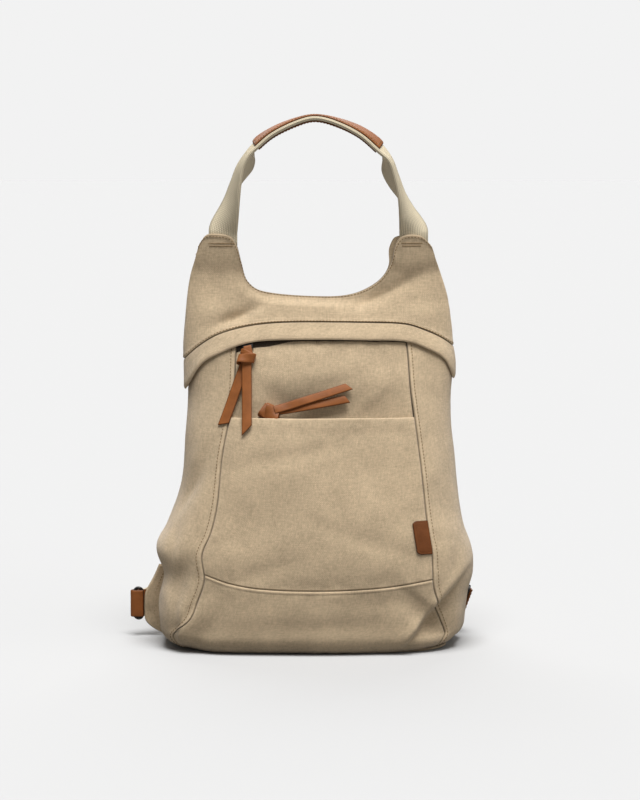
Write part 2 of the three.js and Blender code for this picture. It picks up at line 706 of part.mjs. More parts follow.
// A zip slider along X, its back at Y = 0: a plate with a bail over its lower edge
const bailCentre = sliderPlate + bailRise + bailWire / 2;
const bailDrop = (sliderWidth - bailWire) / 2;

function sliderGeometry() {
  const plate = new THREE.BoxGeometry(sliderLength, sliderPlate, sliderWidth);
  plate.translate(0, -sliderPlate / 2, 0);
  const bar = new THREE.BoxGeometry(sliderLength, bailWire, bailWire);
  bar.translate(0, -bailCentre, -bailDrop);
  const posts = [-1, 1].map((end) => {
    const post = new THREE.BoxGeometry(bailWire, bailCentre, bailWire);
    return post.translate((end * (sliderLength - bailWire)) / 2, -bailCentre / 2 - bailWire / 4, -bailDrop);
  });
  return joined(plate, bar, ...posts);
}

const addSlider = (name, frame) => addPiece(name, sliderGeometry().applyMatrix4(frame), metalFinish);

// Leather puller: a loop through the slider's bail, a knot and two tails with slanting ends
const loopWidth = sliderLength - 2 * bailWire - 2 * clearance;
const loopDeep = bailWire / 2 + clearance;

// The loop hangs below the bail along -Z in the slider's own axes
function loopGeometry(length) {
  const outline = (path, radius) => {
    path.absarc(0, 0, radius, 0, Math.PI);
    path.absarc(0, 2 * loopDeep - length, radius, Math.PI, 2 * Math.PI);
    return path;
  };
  const ring = outline(new THREE.Shape(), loopDeep + loopLeather);
  ring.holes.push(outline(new THREE.Path(), loopDeep));
  const options = { depth: loopWidth, bevelEnabled: false, curveSegments: 5 };
  const geometry = new THREE.ExtrudeGeometry(ring, options).translate(0, 0, -loopWidth / 2);
  geometry.applyMatrix4(new THREE.Matrix4().makeBasis(vec(0, 1, 0), vec(0, 0, 1), vec(1, 0, 0)));
  return geometry.translate(0, -bailCentre, -bailDrop);
}

function knotGeometry(x, z, depth, tilt) {
  const { across, along, thick } = knotSize;
  const knot = new RoundedBoxGeometry(across, thick, along, 1, 2.6);
  knot.rotateY(degToRad(tilt));
  return knot.applyMatrix4(frontFrame(x, z, () => depth));
}

// Strip that lies on the front from a knot outwards, its end cut on a slant
function tailGeometry(knot, { drop, from, to, heading, long, wide, slant }) {
  const [dx, dz] = [Math.cos(degToRad(heading)), Math.sin(degToRad(heading))];
  const width = wide * thongWidth;
  return wall(shares(2), shares(6), (s, t, face) => {
    const side = (s - 0.5) * width;
    const along = t * (long * thongTail + slant * width * (s - 0.5));
    const x = knot.x + dx * along - dz * side;
    const z = knot.z - drop + dz * along + dx * side;
    return frontPoint(x, z, lerp(from, to, t) * leather + face * leather);
  });
}

function addPuller(name, sliderFrame, loopLength, knot, tails) {
  const loop = loopGeometry(loopLength).applyMatrix4(sliderFrame);
  const body = knotGeometry(knot.x, knot.z, knot.depth, knot.tilt);
  const strips = tails.map((tail) => tailGeometry(knot, tail));
  addPiece(name, joined(loop, body, ...strips), leatherFinish);
}

// Tails of the pullers: drop of their start, depths in leather thicknesses, heading in degrees,
// length and width as shares of the thong's, and slant of the cut as a share of the width
const frontTails = [
  { drop: 0, from: -3.8, to: -3.1, heading: -90, long: 0.9, wide: 1, slant: -1.05 },
  { drop: 0, from: -1.7, to: -1.5, heading: -110.5, long: 0.82, wide: 1, slant: -0.6 },
];
const pocketTails = [
  { drop: 0, from: 0.45, to: 0.15, heading: 17, long: 1, wide: 0.82, slant: -0.7 },
  { drop: 1, from: 2.3, to: 2.3, heading: 9.5, long: 0.95, wide: 0.82, slant: -0.55 },
];

// Front zip's slider below the hem, turned to follow it
const frontZipX = -0.433 * halfWidth;
const coilLine = (x) => frontArch(shareAcross(x, 0.74 * bodyHeight), 'hem', coilWidth / 2 - zipDrop);
const frontZipZ = coilLine(frontZipX) - 0.6;
const coilRise = coilLine(frontZipX + coilWidth) - coilLine(frontZipX - coilWidth);
const coilSlope = Math.atan2(coilRise, 2 * coilWidth);
const frontSlider = frontFrame(frontZipX, frontZipZ, () => stackGap - clearance);
frontSlider.multiply(new THREE.Matrix4().makeRotationY(-coilSlope));
addSlider('front_zip_slider', frontSlider);
const frontKnot = {
  x: frontZipX - clearance,
  z: frontZipZ - sliderWidth / 2 - 0.9 * knotSize.along,
  depth: -0.56 * knotSize.thick,
  tilt: 20,
};
addPuller('front_zip_puller', frontSlider, 0.8 * sliderLength, frontKnot, frontTails);

// Pocket zip's slider, its puller turned up and out of the mouth
const pocketZipX = -0.284 * halfWidth;
const pocketZipZ = pocketZip.top - pocketTapeWidth / 2;
const pocketSlider = frontFrame(pocketZipX, pocketZipZ, (x, z) => pocketTapeDepth(x, z) - clearance);
pocketSlider.multiply(new THREE.Matrix4().makeRotationY(Math.PI));
addSlider('pocket_zip_slider', pocketSlider);
const pocketKnot = {
  x: pocketZipX + 0.2 * knotSize.along,
  z: pocketTop + knotSize.thick,
  depth: 0.27 * knotSize.thick,
  tilt: -25,
};
addPuller('pocket_zip_puller', pocketSlider, 1.3 * sliderLength, pocketKnot, pocketTails);

// Slider of the back zip, with a plain leather tag through its bail
const backSliderAngle = Math.PI + degToRad(38);
const backSliderHeight = meetArch('seam', () => backSliderAngle) - backZipWidth / 2;
const backSliderRun = heightRun(backSliderHeight);
const backSliderAt = (turn, rise) =>
  bodyPoint(backSliderAngle + turn, backSliderRun + rise, backCoilDepth - clearance);
const backAcross = backSliderAt(0.02, 0).sub(backSliderAt(-0.02, 0)).normalize();
const backInwards = backSliderAt(0, 1).sub(backSliderAt(0, -1)).cross(backAcross).normalize();
const backSlider = new THREE.Matrix4()
  .makeBasis(backAcross, backInwards, backAcross.clone().cross(backInwards))
  .setPosition(backSliderAt(0, 0));
addSlider('back_zip_slider', backSlider);
const backTag = new THREE.BoxGeometry(loopWidth, leather, tagLength);
backTag.translate(0, -bailCentre, -bailDrop - 0.6 * sliderLength - tagLength / 2);
const backPuller = joined(loopGeometry(0.7 * sliderLength), backTag);
addPiece('back_zip_puller', backPuller.applyMatrix4(backSlider), leatherFinish);

// Leather label at the right seam of the pocket, its free corners rounded
const labelMiddle = 0.2815 * bodyHeight;
addPiece(
  'label',
  wall([0, 0.12, 0.3, 1], shares(4), (s, t, face) => {
    const round = labelSize.corner * (1 - Math.min(s / 0.3, 1)) ** 2;
    const height = labelMiddle + (t - 0.5) * (labelSize.height - 2 * round);
    const x = frontAcross(1, height) - labelSize.width * (1 - s);
    return frontPoint(x, height, -clearance - labelThickness * (1 - face));
  }),
  labelFinish,
);

// Handle: webbing folded along its length, from ear to ear
const earMiddle = bodySections[bodySections.length - 1].side * halfDepth;

function handleFrame(share) {
  const row = readTable(handleSections, 'share', share);
  const place = (at) => {
    const { across, up } = readTable(handleSections, 'share', at);
    return vec(across * handleReach, 0, bodyHeight + up * handleRise);
  };
  const along = place(share + 0.01).sub(place(share - 0.01)).normalize();
  const outwards = vec(-along.z, 0, along.x);
  const outer = degToRad(Math.max(row.outer, row.inner));
  const inner = degToRad(row.inner);
  const middle = (outer + inner) / 2;
  const fold = place(share);
  fold.y = earMiddle - (webbingWidth / 2) * Math.cos(middle);
  return { fold, outwards, outer, inner, middle };
}

// Section of two layers that leave a round fold, each in its own direction
function foldedSection({ fold, outwards, outer, inner, middle }, start, width, half, thickness, flip) {
  const direction = (angle) => {
    return vec(0, Math.cos(angle), 0).addScaledVector(outwards, Math.sin(angle));
  };
  const normal = (angle) => direction(angle + Math.PI / 2);
  const sheet = (offset) => {
    const points = [];
    for (const [angle, sign] of [[outer, 1], [inner, -1]]) {
      const root = fold.clone().addScaledVector(normal(middle), sign * half);
      const leg = [width, start].map((reach) => {
        const point = root.clone().addScaledVector(direction(angle), reach);
        return point.addScaledVector(normal(angle), sign * offset);
      });
      points.push(sign > 0 ? leg : leg.reverse());
    }
    const centre = fold.clone().addScaledVector(direction(middle), flip ? width : start);
    const bend = [45, 90, 135].map((turn) => {
      const angle = degToRad(flip ? 90 - turn : 90 + turn);
      return centre.clone().addScaledVector(direction(middle + angle), half + offset);
    });
    if (flip) return [points[0][1], points[0][0], ...bend, points[1][1], points[1][0]];
    return [...points[0], ...bend, ...points[1]];
  };
  return [...sheet(thickness / 2), ...sheet(-thickness / 2).reverse()];
}

const spread = (from, to, steps) => shares(steps).map((t) => lerp(from, to, t));
const gripSteps = 14;
const handleShares = [
  ...spread(0, gripStart, 11).slice(0, -1),
  ...spread(gripStart, gripEnd, gripSteps),
  ...spread(gripEnd, 1, 10).slice(1),
];
const layerHalf = (webbingThickness + foldGap) / 2;
const webbingAt = (frame) => foldedSection(frame, 0, webbingWidth, layerHalf, webbingThickness, false);
const webbingSections = handleShares.map((share) => webbingAt(handleFrame(share)));
const tucked = (section) => section.map((point) => point.clone().setZ(bodyHeight - handleTuck));
addPiece(
  'handle_webbing',
  loft([tucked(webbingSections[0]), ...webbingSections, tucked(webbingSections.at(-1))]),
  webbingFinish,
);

// Leather grip: wrapped round the folded webbing from behind, open along its front, and swept from
// right to left so that its triangles match the webbing's
const gripHalf = webbingThickness + foldGap / 2 + clearance + leather / 2;
const gripSections = spread(gripEnd, gripStart, gripSteps).map((share) => {
  return foldedSection(handleFrame(share), foldGap, webbingWidth + clearance, gripHalf, leather, true);
});
addPiece('handle_grip', loft(gripSections), leatherFinish);

// Side of the body behind its middle: the place across at a given depth and height
function sideOfBody(sign, y, z) {
  let run = heightRun(z);
  let point = vec(0, 0, 0);
  for (let pass = 0; pass < 5; pass++) {
    let [near, far] = [Math.PI / 2, Math.PI - 0.2];
    for (let halving = 0; halving < 24; halving++) {
      const angle = (near + far) / 2;
      point = bodyPoint(sign * angle, run, 0);
      if (point.y < y) near = angle;
      else far = angle;
    }
    run += z - point.z;
  }
  return point.x;
}

// Cloth tabs sewn into the sides: free edge at each height
const tabLeft = [
  { up: 0.006, across: -1.0 },
  { up: 0.018, across: -1.06 },
  { up: 0.034, across: -1.108 },
  { up: 0.05, across: -1.122 },
  { up: 0.105, across: -1.118 },
  { up: 0.122, across: -1.1 },
  { up: 0.152, across: -1.058 },
  { up: 0.18, across: -1.026 },
];
const tabRight = [
  { up: 0.022, across: 0.91 },
  { up: 0.045, across: 0.935 },
  { up: 0.075, across: 0.953 },
  { up: 0.1, across: 0.96 },
  { up: 0.125, across: 0.962 },
  { up: 0.15, across: 0.957 },
];
const tabPlace = {
  left: { depth: 0.586 * halfDepth, gap: 1.3 }, // beside a deep fold
  right: { depth: 0.69 * halfDepth, gap: 0.5 },
};

function addTab(side, outline) {
  const sign = side === 'left' ? -1 : 1;
  const { depth: y, gap } = tabPlace[side];
  const geometry = wall(shares(2), shares(12), (s, t, face) => {
    const row = readTable(outline, 'up', lerp(outline[0].up, outline.at(-1).up, t));
    const z = row.up * bodyHeight;
    const front = y - tabThickness / 2;
    const root = Math.max(...[front, y + tabThickness / 2].map((place) => sign * sideOfBody(sign, place, z)));
    const edge = sign * row.across * halfWidth;
    return vec(sign * lerp(root + gap, Math.max(edge, root + 2 * gap), s), front + face * tabThickness, z);
  });
  addPiece(`tab_${side}`, geometry, canvasFinish);
}
addTab('left', tabLeft);
addTab('right', tabRight);

// Wire ring in its own plane: X outwards from the tab, Z up
function ringGeometry() {
  const straight = ringHeight / 2 - ringWidth / 2;
  const radius = (ringWidth - ringWire) / 2;
  const path = [];
  for (const end of [1, -1]) {
    for (let i = 0; i <= 6; i++) {
      const angle = degToRad(end > 0 ? i * 30 : 180 + i * 30);
      const outwards = vec(Math.cos(angle), 0, Math.sin(angle));
      path.push({ outwards, centre: outwards.clone().multiplyScalar(radius).add(vec(0, 0, end * straight)) });
    }
  }
  const around = 6;
  const points = path.flatMap(({ centre, outwards }) => {
    return range(around).map((k) => {
      const angle = (k / around) * 2 * Math.PI;
      const point = centre.clone().addScaledVector(outwards, (Math.cos(angle) * ringWire) / 2);
      return point.setY((Math.sin(angle) * ringWire) / 2);
    });
  });
  const index = [];
  for (let i = 0; i < path.length; i++) {
    for (let k = 0; k < around; k++) {
      const [a, b] = [i * around + k, i * around + ((k + 1) % around)];
      const [c, d] = [a, b].map((at) => (at + around) % points.length);
      index.push(a, b, d, a, d, c);
    }
  }
  return facingOut(points, index).translate(ringWidth / 2, 0, 0);
}

// Leather end folded round the ring's outer bar, one leg before the ring and one behind it
const endHeight = ringHeight - 2 * ringWire - 2 * clearance - 0.6;
const endHalf = Math.max(ringWire, tabThickness) / 2 + clearance + endLeather / 2;

function endGeometry(frontReach, backReach) {
  const bendAt = ringWidth - ringWire / 2;
  const face = (offset) => {
    const radius = endHalf + offset;
    const bend = [-90, -60, -30, 0, 30, 60, 90].map((turn) => {
      const angle = degToRad(turn);
      return vec(bendAt + radius * Math.cos(angle), radius * Math.sin(angle), 0);
    });
    return [vec(frontReach, -radius, 0), ...bend, vec(backReach, radius, 0)];
  };
  const section = [...face(endLeather / 2), ...face(-endLeather / 2).reverse()];
  const levels = [-endHeight / 2, endHeight / 2];
  return loft(levels.map((z) => section.map((point) => point.clone().setZ(z))));
}

// The two fittings: X away from the tab, Y away from the strap's face, Z up
const tabEdge = (outline) => readTable(outline, 'up', ringCentre / bodyHeight).across * halfWidth;
const ringSeat = tabThickness / 2 + stackGap;
const fittings = {
  left: {
    place: vec(tabEdge(tabLeft) - clearance, tabPlace.left.depth, ringCentre),
    turn: 180,
    lean: 0,
    legs: [-0.57 * strapWidth, clearance],
    strapAt: 0.2 * strapWidth,
    strapSide: -1,
  },
  right: {
    place: vec(tabEdge(tabRight) + stackGap, tabPlace.right.depth + ringSeat, ringCentre),
    turn: 90,
    lean: 20,
    legs: [clearance, clearance],
    strapAt: clearance,
    strapSide: 1,
  },
};
const strapStart = {};
for (const [side, fitting] of Object.entries(fittings)) {
  const frame = new THREE.Matrix4()
    .makeRotationZ(degToRad(fitting.turn))
    .multiply(new THREE.Matrix4().makeRotationX(degToRad(fitting.lean)))
    .setPosition(fitting.place);
  const strapReach = fitting.strapSide * (endHalf + endLeather / 2 + stackGap + strapThickness / 2);
  strapStart[side] = vec(fitting.strapAt, strapReach, 0).applyMatrix4(frame);
  addPiece(`ring_${side}`, ringGeometry().applyMatrix4(frame), metalFinish);
  addPiece(`strap_end_${side}`, endGeometry(...fitting.legs).applyMatrix4(frame), leatherFinish);
}

// Shoulder straps: middle line from the lower fitting to the yoke, and the way their faces look
const strapLeft = [
  { share: 0, across: -1.065, out: 0.692, up: 0.125, look: 0, lean: 0 },
  { share: 0.05, across: -1.0, out: 0.7, up: 0.1255, look: 0, lean: 0 },
  { share: 0.1, across: -0.94, out: 0.87, up: 0.13, look: 0, lean: 0 },
  { share: 0.16, across: -0.865, out: 1.04, up: 0.146, look: 0, lean: 0 },
  { share: 0.22, across: -0.8, out: 1.11, up: 0.185, look: 0, lean: 0 },
  { share: 0.3, across: -0.752, out: 1.155, up: 0.245, look: 0, lean: 0 },
  { share: 0.47, across: -0.652, out: 1.17, up: 0.38, look: 0, lean: 0 },
  { share: 0.67, across: -0.51, out: 1.13, up: 0.543, look: 0, lean: 0 },
  { share: 0.86, across: -0.404, out: 0.97, up: 0.693, look: 0, lean: 0 },
  { share: 0.94, across: -0.355, out: 0.77, up: 0.775, look: 0, lean: 0 },
  { share: 1, across: -0.335, out: 0.665, up: 0.835, look: 0, lean: 0 },
];
const strapRight = [
  { share: 0, across: 0.955, out: 0.736, up: 0.1296, look: 90, lean: 20 },
  { share: 0.05, across: 0.955, out: 0.9, up: 0.13, look: 89.5, lean: 20 },
  { share: 0.1, across: 0.93, out: 1.03, up: 0.134, look: 62, lean: 14 },
  { share: 0.16, across: 0.88, out: 1.12, up: 0.148, look: 30, lean: 6 },
  { share: 0.22, across: 0.82, out: 1.165, up: 0.182, look: 10, lean: 0 },
  { share: 0.3, across: 0.765, out: 1.175, up: 0.245, look: 0, lean: 0 },
  { share: 0.47, across: 0.66, out: 1.17, up: 0.38, look: 0, lean: 0 },
  { share: 0.67, across: 0.515, out: 1.13, up: 0.543, look: 0, lean: 0 },
  { share: 0.86, across: 0.404, out: 0.97, up: 0.693, look: 0, lean: 0 },
  { share: 0.94, across: 0.355, out: 0.77, up: 0.775, look: 0, lean: 0 },
  { share: 1, across: 0.335, out: 0.665, up: 0.835, look: 0, lean: 0 },
];

function strapGeometry(table, start) {
  const onTable = (share) => {
    const row = readTable(table, 'share', clamp(share, 0, 1));
    return vec(row.across * halfWidth, row.out * halfDepth, row.up * bodyHeight);
  };
  const shift = start.clone().sub(onTable(0));
  const middle = (share) => onTable(share).addScaledVector(shift, 1 - smoothstep(share, 0.03, 0.2));
  return wall([0, 1], shares(26), (s, t, face) => {
    const along = middle(t + 0.005).sub(middle(t - 0.005)).normalize();
    const row = readTable(table, 'share', t);
    const [look, lean] = [degToRad(row.look), degToRad(row.lean)];
    const normal = vec(Math.sin(look), Math.cos(look), -Math.tan(lean));
    normal.addScaledVector(along, -normal.dot(along)).normalize();
    const across = along.clone().cross(normal);
    const point = middle(t).addScaledVector(across, (s - 0.5) * strapWidth);
    return point.addScaledVector(normal, (face - 0.5) * strapThickness);
  });
}
addPiece('strap_left', strapGeometry(strapLeft, strapStart.left), webbingFinish);
addPiece('strap_right', strapGeometry(strapRight, strapStart.right), webbingFinish);

export default bag;
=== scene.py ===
import math

import bpy
import numpy as np
from mathutils import Matrix, Vector


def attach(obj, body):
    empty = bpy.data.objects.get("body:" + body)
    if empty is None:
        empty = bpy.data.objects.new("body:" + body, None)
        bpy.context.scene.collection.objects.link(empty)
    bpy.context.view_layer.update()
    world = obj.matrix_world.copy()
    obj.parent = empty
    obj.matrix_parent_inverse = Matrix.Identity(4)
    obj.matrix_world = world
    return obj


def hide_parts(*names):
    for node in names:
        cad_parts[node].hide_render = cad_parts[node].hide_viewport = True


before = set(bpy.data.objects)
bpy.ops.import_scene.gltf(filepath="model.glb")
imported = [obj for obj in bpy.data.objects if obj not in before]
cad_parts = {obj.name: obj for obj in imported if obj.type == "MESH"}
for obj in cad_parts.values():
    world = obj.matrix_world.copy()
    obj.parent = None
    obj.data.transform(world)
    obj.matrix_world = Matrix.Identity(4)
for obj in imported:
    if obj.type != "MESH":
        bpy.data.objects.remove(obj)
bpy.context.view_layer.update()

bl_info = {
    "name": "Canvas Backpack",
    "version": (1, 0, 0),
    "blender": (4, 5, 0),
    "location": "View3D > Sidebar > Backpack",
    "description": "Dresses the packed backpack solids in sewn canvas, webbing and leather",
    "category": "Object",
}

MM = 0.001

# Sizes of the bag in millimetres, and EAR_SPREAD, the share by which the cloth stands wider at the ears
BODY_HEIGHT = 368.0
HALF_WIDTH = 141.0
HALF_DEPTH = 58.0
BASE_RADIUS = 16.0
BASE_GAP = 0.8
CORNER_LIFT = 2.5
LIFT_REACH = 70.0
FOLD_DEPTH = 6.0
EAR_SPREAD = 0.028
CANVAS = 2.0
CLEARANCE = 0.3
STACK_GAP = 0.6
POCKET_MOUTH = 9.0
MOUTH_FADE = 40.0
POCKET_FADE = 110.0
FLAP_THICKNESS = 2.4
FLAP_STAND = 4.5
COIL_WIDTH = 5.0
ZIP_DROP = COIL_WIDTH - 1
BACK_ZIP_WIDTH = 15.0
WEBBING_WIDTH = 24.0
WEBBING_THICKNESS = 1.6
FOLD_GAP = 0.4
LEATHER = 1.3
HANDLE_RISE = 103.0
HANDLE_REACH = 73.5
HANDLE_TUCK = 11.0
BACK_EDGE_SHARE = 0.9
POCKET_TOP = 0.563 * BODY_HEIGHT
THREAD_LIFT = 0.12
ZIP_TAPE = 0.9
POCKET_ZIP_DROP = 4.0
POCKET_ZIP_WIDTH = 9.0
LABEL_HEIGHT = 29.0
LABEL_WIDTH = 13.6
LABEL_CORNER = 2.4
LABEL_MIDDLE = 0.2815 * BODY_HEIGHT

# Section of the body at each height, as shares of the sizes above
BODY_SECTIONS = np.array([
    # at, left, right, front, back, side line, squareness
    (0.0, 0.99, 0.945, 1.0, 0.97, 0.1, 3.6),
    (0.08, 1.01, 0.955, 1.02, 0.99, 0.1, 3.4),
    (0.122, 1.005, 0.965, 1.02, 0.985, 0.12, 3.2),
    (0.18, 0.97, 0.99, 1.0, 0.97, 0.15, 3.1),
    (0.24, 1.02, 0.982, 0.97, 0.955, 0.18, 3.0),
    (0.29, 0.965, 0.943, 0.925, 0.94, 0.2, 2.9),
    (0.323, 0.935, 0.922, 0.885, 0.925, 0.22, 2.8),
    (0.383, 0.883, 0.9, 0.8, 0.9, 0.25, 2.7),
    (0.446, 0.848, 0.88, 0.69, 0.87, 0.28, 2.6),
    (0.543, 0.83, 0.848, 0.5, 0.82, 0.33, 2.5),
    (0.62, 0.82, 0.843, 0.32, 0.77, 0.38, 2.4),
    (0.704, 0.845, 0.86, 0.1, 0.71, 0.42, 2.4),
    (0.76, 0.838, 0.85, -0.06, 0.665, 0.45, 2.5),
    (0.807, 0.823, 0.832, -0.2, 0.64, 0.47, 2.8),
    (0.845, 0.812, 0.815, -0.33, 0.615, 0.485, 3.2),
    (0.897, 0.789, 0.775, -0.42, 0.59, 0.5, 4.0),
    (0.948, 0.75, 0.73, -0.43, 0.575, 0.5, 5.0),
    (0.976, 0.73, 0.705, -0.43, 0.573, 0.5, 5.0),
    (1.0, 0.7, 0.675, -0.43, 0.57, 0.5, 5.0),
])

# Seams beside the front: height, left and right, as shares of the half width there
SIDE_SEAMS = np.array([
    (0.0, 0.9, 0.87), (0.04, 0.905, 0.895), (0.082, 0.787, 0.845), (0.12, 0.752, 0.79),
    (0.18, 0.727, 0.732), (0.323, 0.69, 0.746), (0.455, 0.713, 0.742),
    (0.563, 0.665, 0.727), (0.69, 0.607, 0.667), (0.8, 0.58, 0.635),
])

# Arched seam and hem of the flap at each share of the width
ARCH_LINES = np.array([
    (-1.0, 0.695, 0.622), (-0.86, 0.734, 0.684), (-0.72, 0.761, 0.711), (-0.5, 0.78, 0.737),
    (-0.2, 0.788, 0.744), (0.38, 0.787, 0.743), (0.66, 0.782, 0.739), (0.81, 0.766, 0.72),
    (0.925, 0.747, 0.695), (1.0, 0.728, 0.648),
])

# Seam under the pocket
POCKET_SEAM = np.array([
    (0.0, 0.193), (0.11, 0.174), (0.26, 0.162), (0.53, 0.158), (0.8, 0.166), (1.0, 0.181),
])

# Upper outline from ear to ear: share, across, up
NECKLINE = np.array([
    (0.0, -0.735, 0.97), (0.05, -0.69, 0.996), (0.12, -0.62, 1.0), (0.2, -0.53, 0.992),
    (0.245, -0.497, 0.97), (0.3, -0.47, 0.93), (0.36, -0.435, 0.885), (0.43, -0.335, 0.859),
    (0.56, 0.0, 0.847), (0.66, 0.22, 0.853), (0.735, 0.375, 0.883), (0.79, 0.455, 0.925),
    (0.85, 0.485, 0.972), (0.9, 0.53, 0.995), (0.96, 0.645, 0.994), (1.0, 0.71, 0.965),
])

# Dents and soft folds: across, up, reach along and across, turn, depth
FOLDS = [
    (-0.5, 0.805, 0.2, 0.08, 20, 0.5),
    (0.44, 0.872, 0.3, 0.07, 25, 0.45),
    (-0.8, 0.395, 0.2, 0.07, 60, 0.6),
    (-0.35, 0.33, 0.35, 0.14, 35, 0.35),
    (0.3, 0.42, 0.4, 0.16, -30, 0.3),
    (0.77, 0.07, 0.26, 0.1, -43, 1.35),
    (0.72, 0.115, 0.22, 0.05, -43, -0.4),
    (-0.86, 0.17, 0.18, 0.06, 75, 0.55),
    (-0.72, 0.05, 0.2, 0.07, 50, 0.4),
]

# Smaller creases of the cloth alone, in the same columns
CREASES = [
    (-0.49, 0.805, 0.15, 0.036, 24, 0.8),
    (-0.4, 0.815, 0.16, 0.05, 35, -0.16),
    (-0.62, 0.88, 0.16, 0.05, 70, 0.2),
    (0.42, 0.862, 0.19, 0.033, 26, 0.85),
    (0.45, 0.885, 0.24, 0.05, 28, -0.16),
    (0.62, 0.8, 0.16, 0.05, 12, -0.12),
    (0.1, 0.82, 0.4, 0.04, 3, 0.1),
    (-0.85, 0.36, 0.16, 0.03, 58, 0.26),
    (-0.78, 0.45, 0.16, 0.035, 66, -0.18),
    (-0.7, 0.3, 0.24, 0.05, 75, 0.2),
    (-0.9, 0.26, 0.14, 0.03, 80, 0.3),
    (-0.8, 0.1, 0.14, 0.03, 55, 0.25),
    (-0.93, 0.115, 0.12, 0.035, 100, -0.22),
    (0.64, 0.13, 0.16, 0.025, -40, 0.14),
    (0.86, 0.2, 0.18, 0.05, 80, 0.3),
    (0.9, 0.33, 0.16, 0.04, 100, -0.16),
    (0.8, 0.45, 0.2, 0.05, 95, 0.18),
    (-0.2, 0.47, 0.3, 0.05, 12, 0.2),
    (0.35, 0.27, 0.3, 0.06, -18, 0.22),
    (-0.35, 0.2, 0.25, 0.05, 20, 0.16),
    (0.1, 0.64, 0.3, 0.06, 20, 0.3),
    (-0.2, 0.6, 0.2, 0.05, -30, 0.2),
    (0.3, 0.6, 0.2, 0.04, 35, -0.15),
    (0.0, 0.07, 0.5, 0.05, 2, 0.16),
]

# Handle's path and the turn of its two layers: share, across, up, outer, inner
HANDLE_SECTIONS = np.array([
    (0.0, -1.0, 0.0, 90, 90), (0.09, -0.98, 0.135, 57, 54), (0.17, -0.963, 0.27, 34, 28),
    (0.25, -0.94, 0.43, 20, 2), (0.31, -0.9, 0.57, 13, -16), (0.35, -0.83, 0.67, 9, -12),
    (0.385, -0.73, 0.745, 10, 10), (0.43, -0.53, 0.862, 8, 8), (0.48, -0.24, 0.962, 4, 4),
    (0.53, -0.02, 0.997, 3, 3), (0.58, 0.22, 0.958, 5, 5), (0.64, 0.52, 0.852, 12, 12),
    (0.685, 0.735, 0.72, 14, 14), (0.73, 0.87, 0.63, 8, -14), (0.79, 0.94, 0.5, 8, -18),
    (0.85, 1.0, 0.32, 15, 0), (0.92, 1.02, 0.16, 42, 38), (1.0, 1.03, 0.0, 90, 90),
])
GRIP_START = 0.385
GRIP_END = 0.685


def mix(a, b, t):
    """Value between a and b at a share t."""
    return a + (b - a) * t


def unit(v):
    """Vectors brought to length 1."""
    return v / np.linalg.norm(v, axis=-1, keepdims=True)


def ease(value, low, high):
    """Share from 0 to 1 that rises smoothly between two values."""
    t = np.clip((value - low) / (high - low), 0, 1)
    return t * t * (3 - 2 * t)


def bell(value, middle, spread):
    """Smooth hump of height 1 round a middle value."""
    return np.exp(-((value - middle) / spread) ** 2)


def read_table(table, value):
    """Smooth reading of a table's columns at the values of its first one."""
    value = np.asarray(value, float)
    keys = table[:, 0]
    last = len(table) - 1
    i = np.clip(np.searchsorted(keys, value, side="left") - 1, 0, last - 1)
    before, start = table[np.maximum(i - 1, 0)], table[i]
    end, after = table[i + 1], table[np.minimum(i + 2, last)]
    step = (end[..., :1] - start[..., :1])
    t = np.clip((value[..., None] - start[..., :1]) / step, 0, 1)
    rise_in = (end - before) / (end[..., :1] - before[..., :1])
    rise_out = (after - start) / (after[..., :1] - start[..., :1])
    return (
        start * (1 + 2 * t) * (1 - t) ** 2 + rise_in * step * t * (1 - t) ** 2
        + end * t * t * (3 - 2 * t) + rise_out * step * t * t * (t - 1)
    )


# Walls of the body, by angle round it and run up it
EDGE_RUN = BASE_RADIUS * math.pi / 2


def run_height(run):
    """Height of a point at a run up the wall, round the base's edge first."""
    low = BASE_RADIUS * (1 - np.cos(np.clip(run, -5, EDGE_RUN) / BASE_RADIUS))
    return np.where(run < EDGE_RUN, low, BASE_RADIUS + run - EDGE_RUN)


def run_inset(run):
    """How far the wall stands in from its full width at a run."""
    return BASE_RADIUS * (1 - np.sin(np.minimum(run, EDGE_RUN) / BASE_RADIUS))


def height_run(height):
    """Run up the wall that reaches a height."""
    low = BASE_RADIUS * np.arccos(np.clip(1 - np.maximum(height, 0) / BASE_RADIUS, -1, 1))
    return np.where(height < BASE_RADIUS, low, EDGE_RUN + height - BASE_RADIUS)


def section_at(height):
    """Half widths left and right, depths front and back, side line and squareness at a height."""
    row = read_table(BODY_SECTIONS, np.asarray(height) / BODY_HEIGHT)
    left, right = row[..., 1] * HALF_WIDTH, row[..., 2] * HALF_WIDTH
    front, back = (row[..., 3] + row[..., 5]) * HALF_DEPTH, (row[..., 4] - row[..., 5]) * HALF_DEPTH
    return left, right, front, back, row[..., 5] * HALF_DEPTH, row[..., 6]


def hull_point(angle, run):
    """Point of the smooth body, before folds."""
    angle, run = np.broadcast_arrays(np.asarray(angle, float), np.asarray(run, float))
    height = run_height(run)
    left, right, front, back, side, power = section_at(height)
    inset = run_inset(run)
    sin, cos = np.sin(angle), np.cos(angle)
    reach = (np.abs(sin) ** power + np.abs(cos) ** power) ** (-1 / power)
    half_x = np.where(sin < 0, left, right) - inset
    half_y = np.where(cos > 0, front, back) - inset
    return np.stack([sin * reach * half_x, side - cos * reach * half_y, height], -1)


def front_angle(across, height):
    """Angle at which the front lies a distance across, at a height."""
    left, right, _, _, _, power = section_at(height)
    half = np.where(np.asarray(across) < 0, left, right) - run_inset(height_run(height))
    u = np.clip(across / half, -1, 1)
    return np.arctan2(u, (1 - np.abs(u) ** power) ** (1 / power))


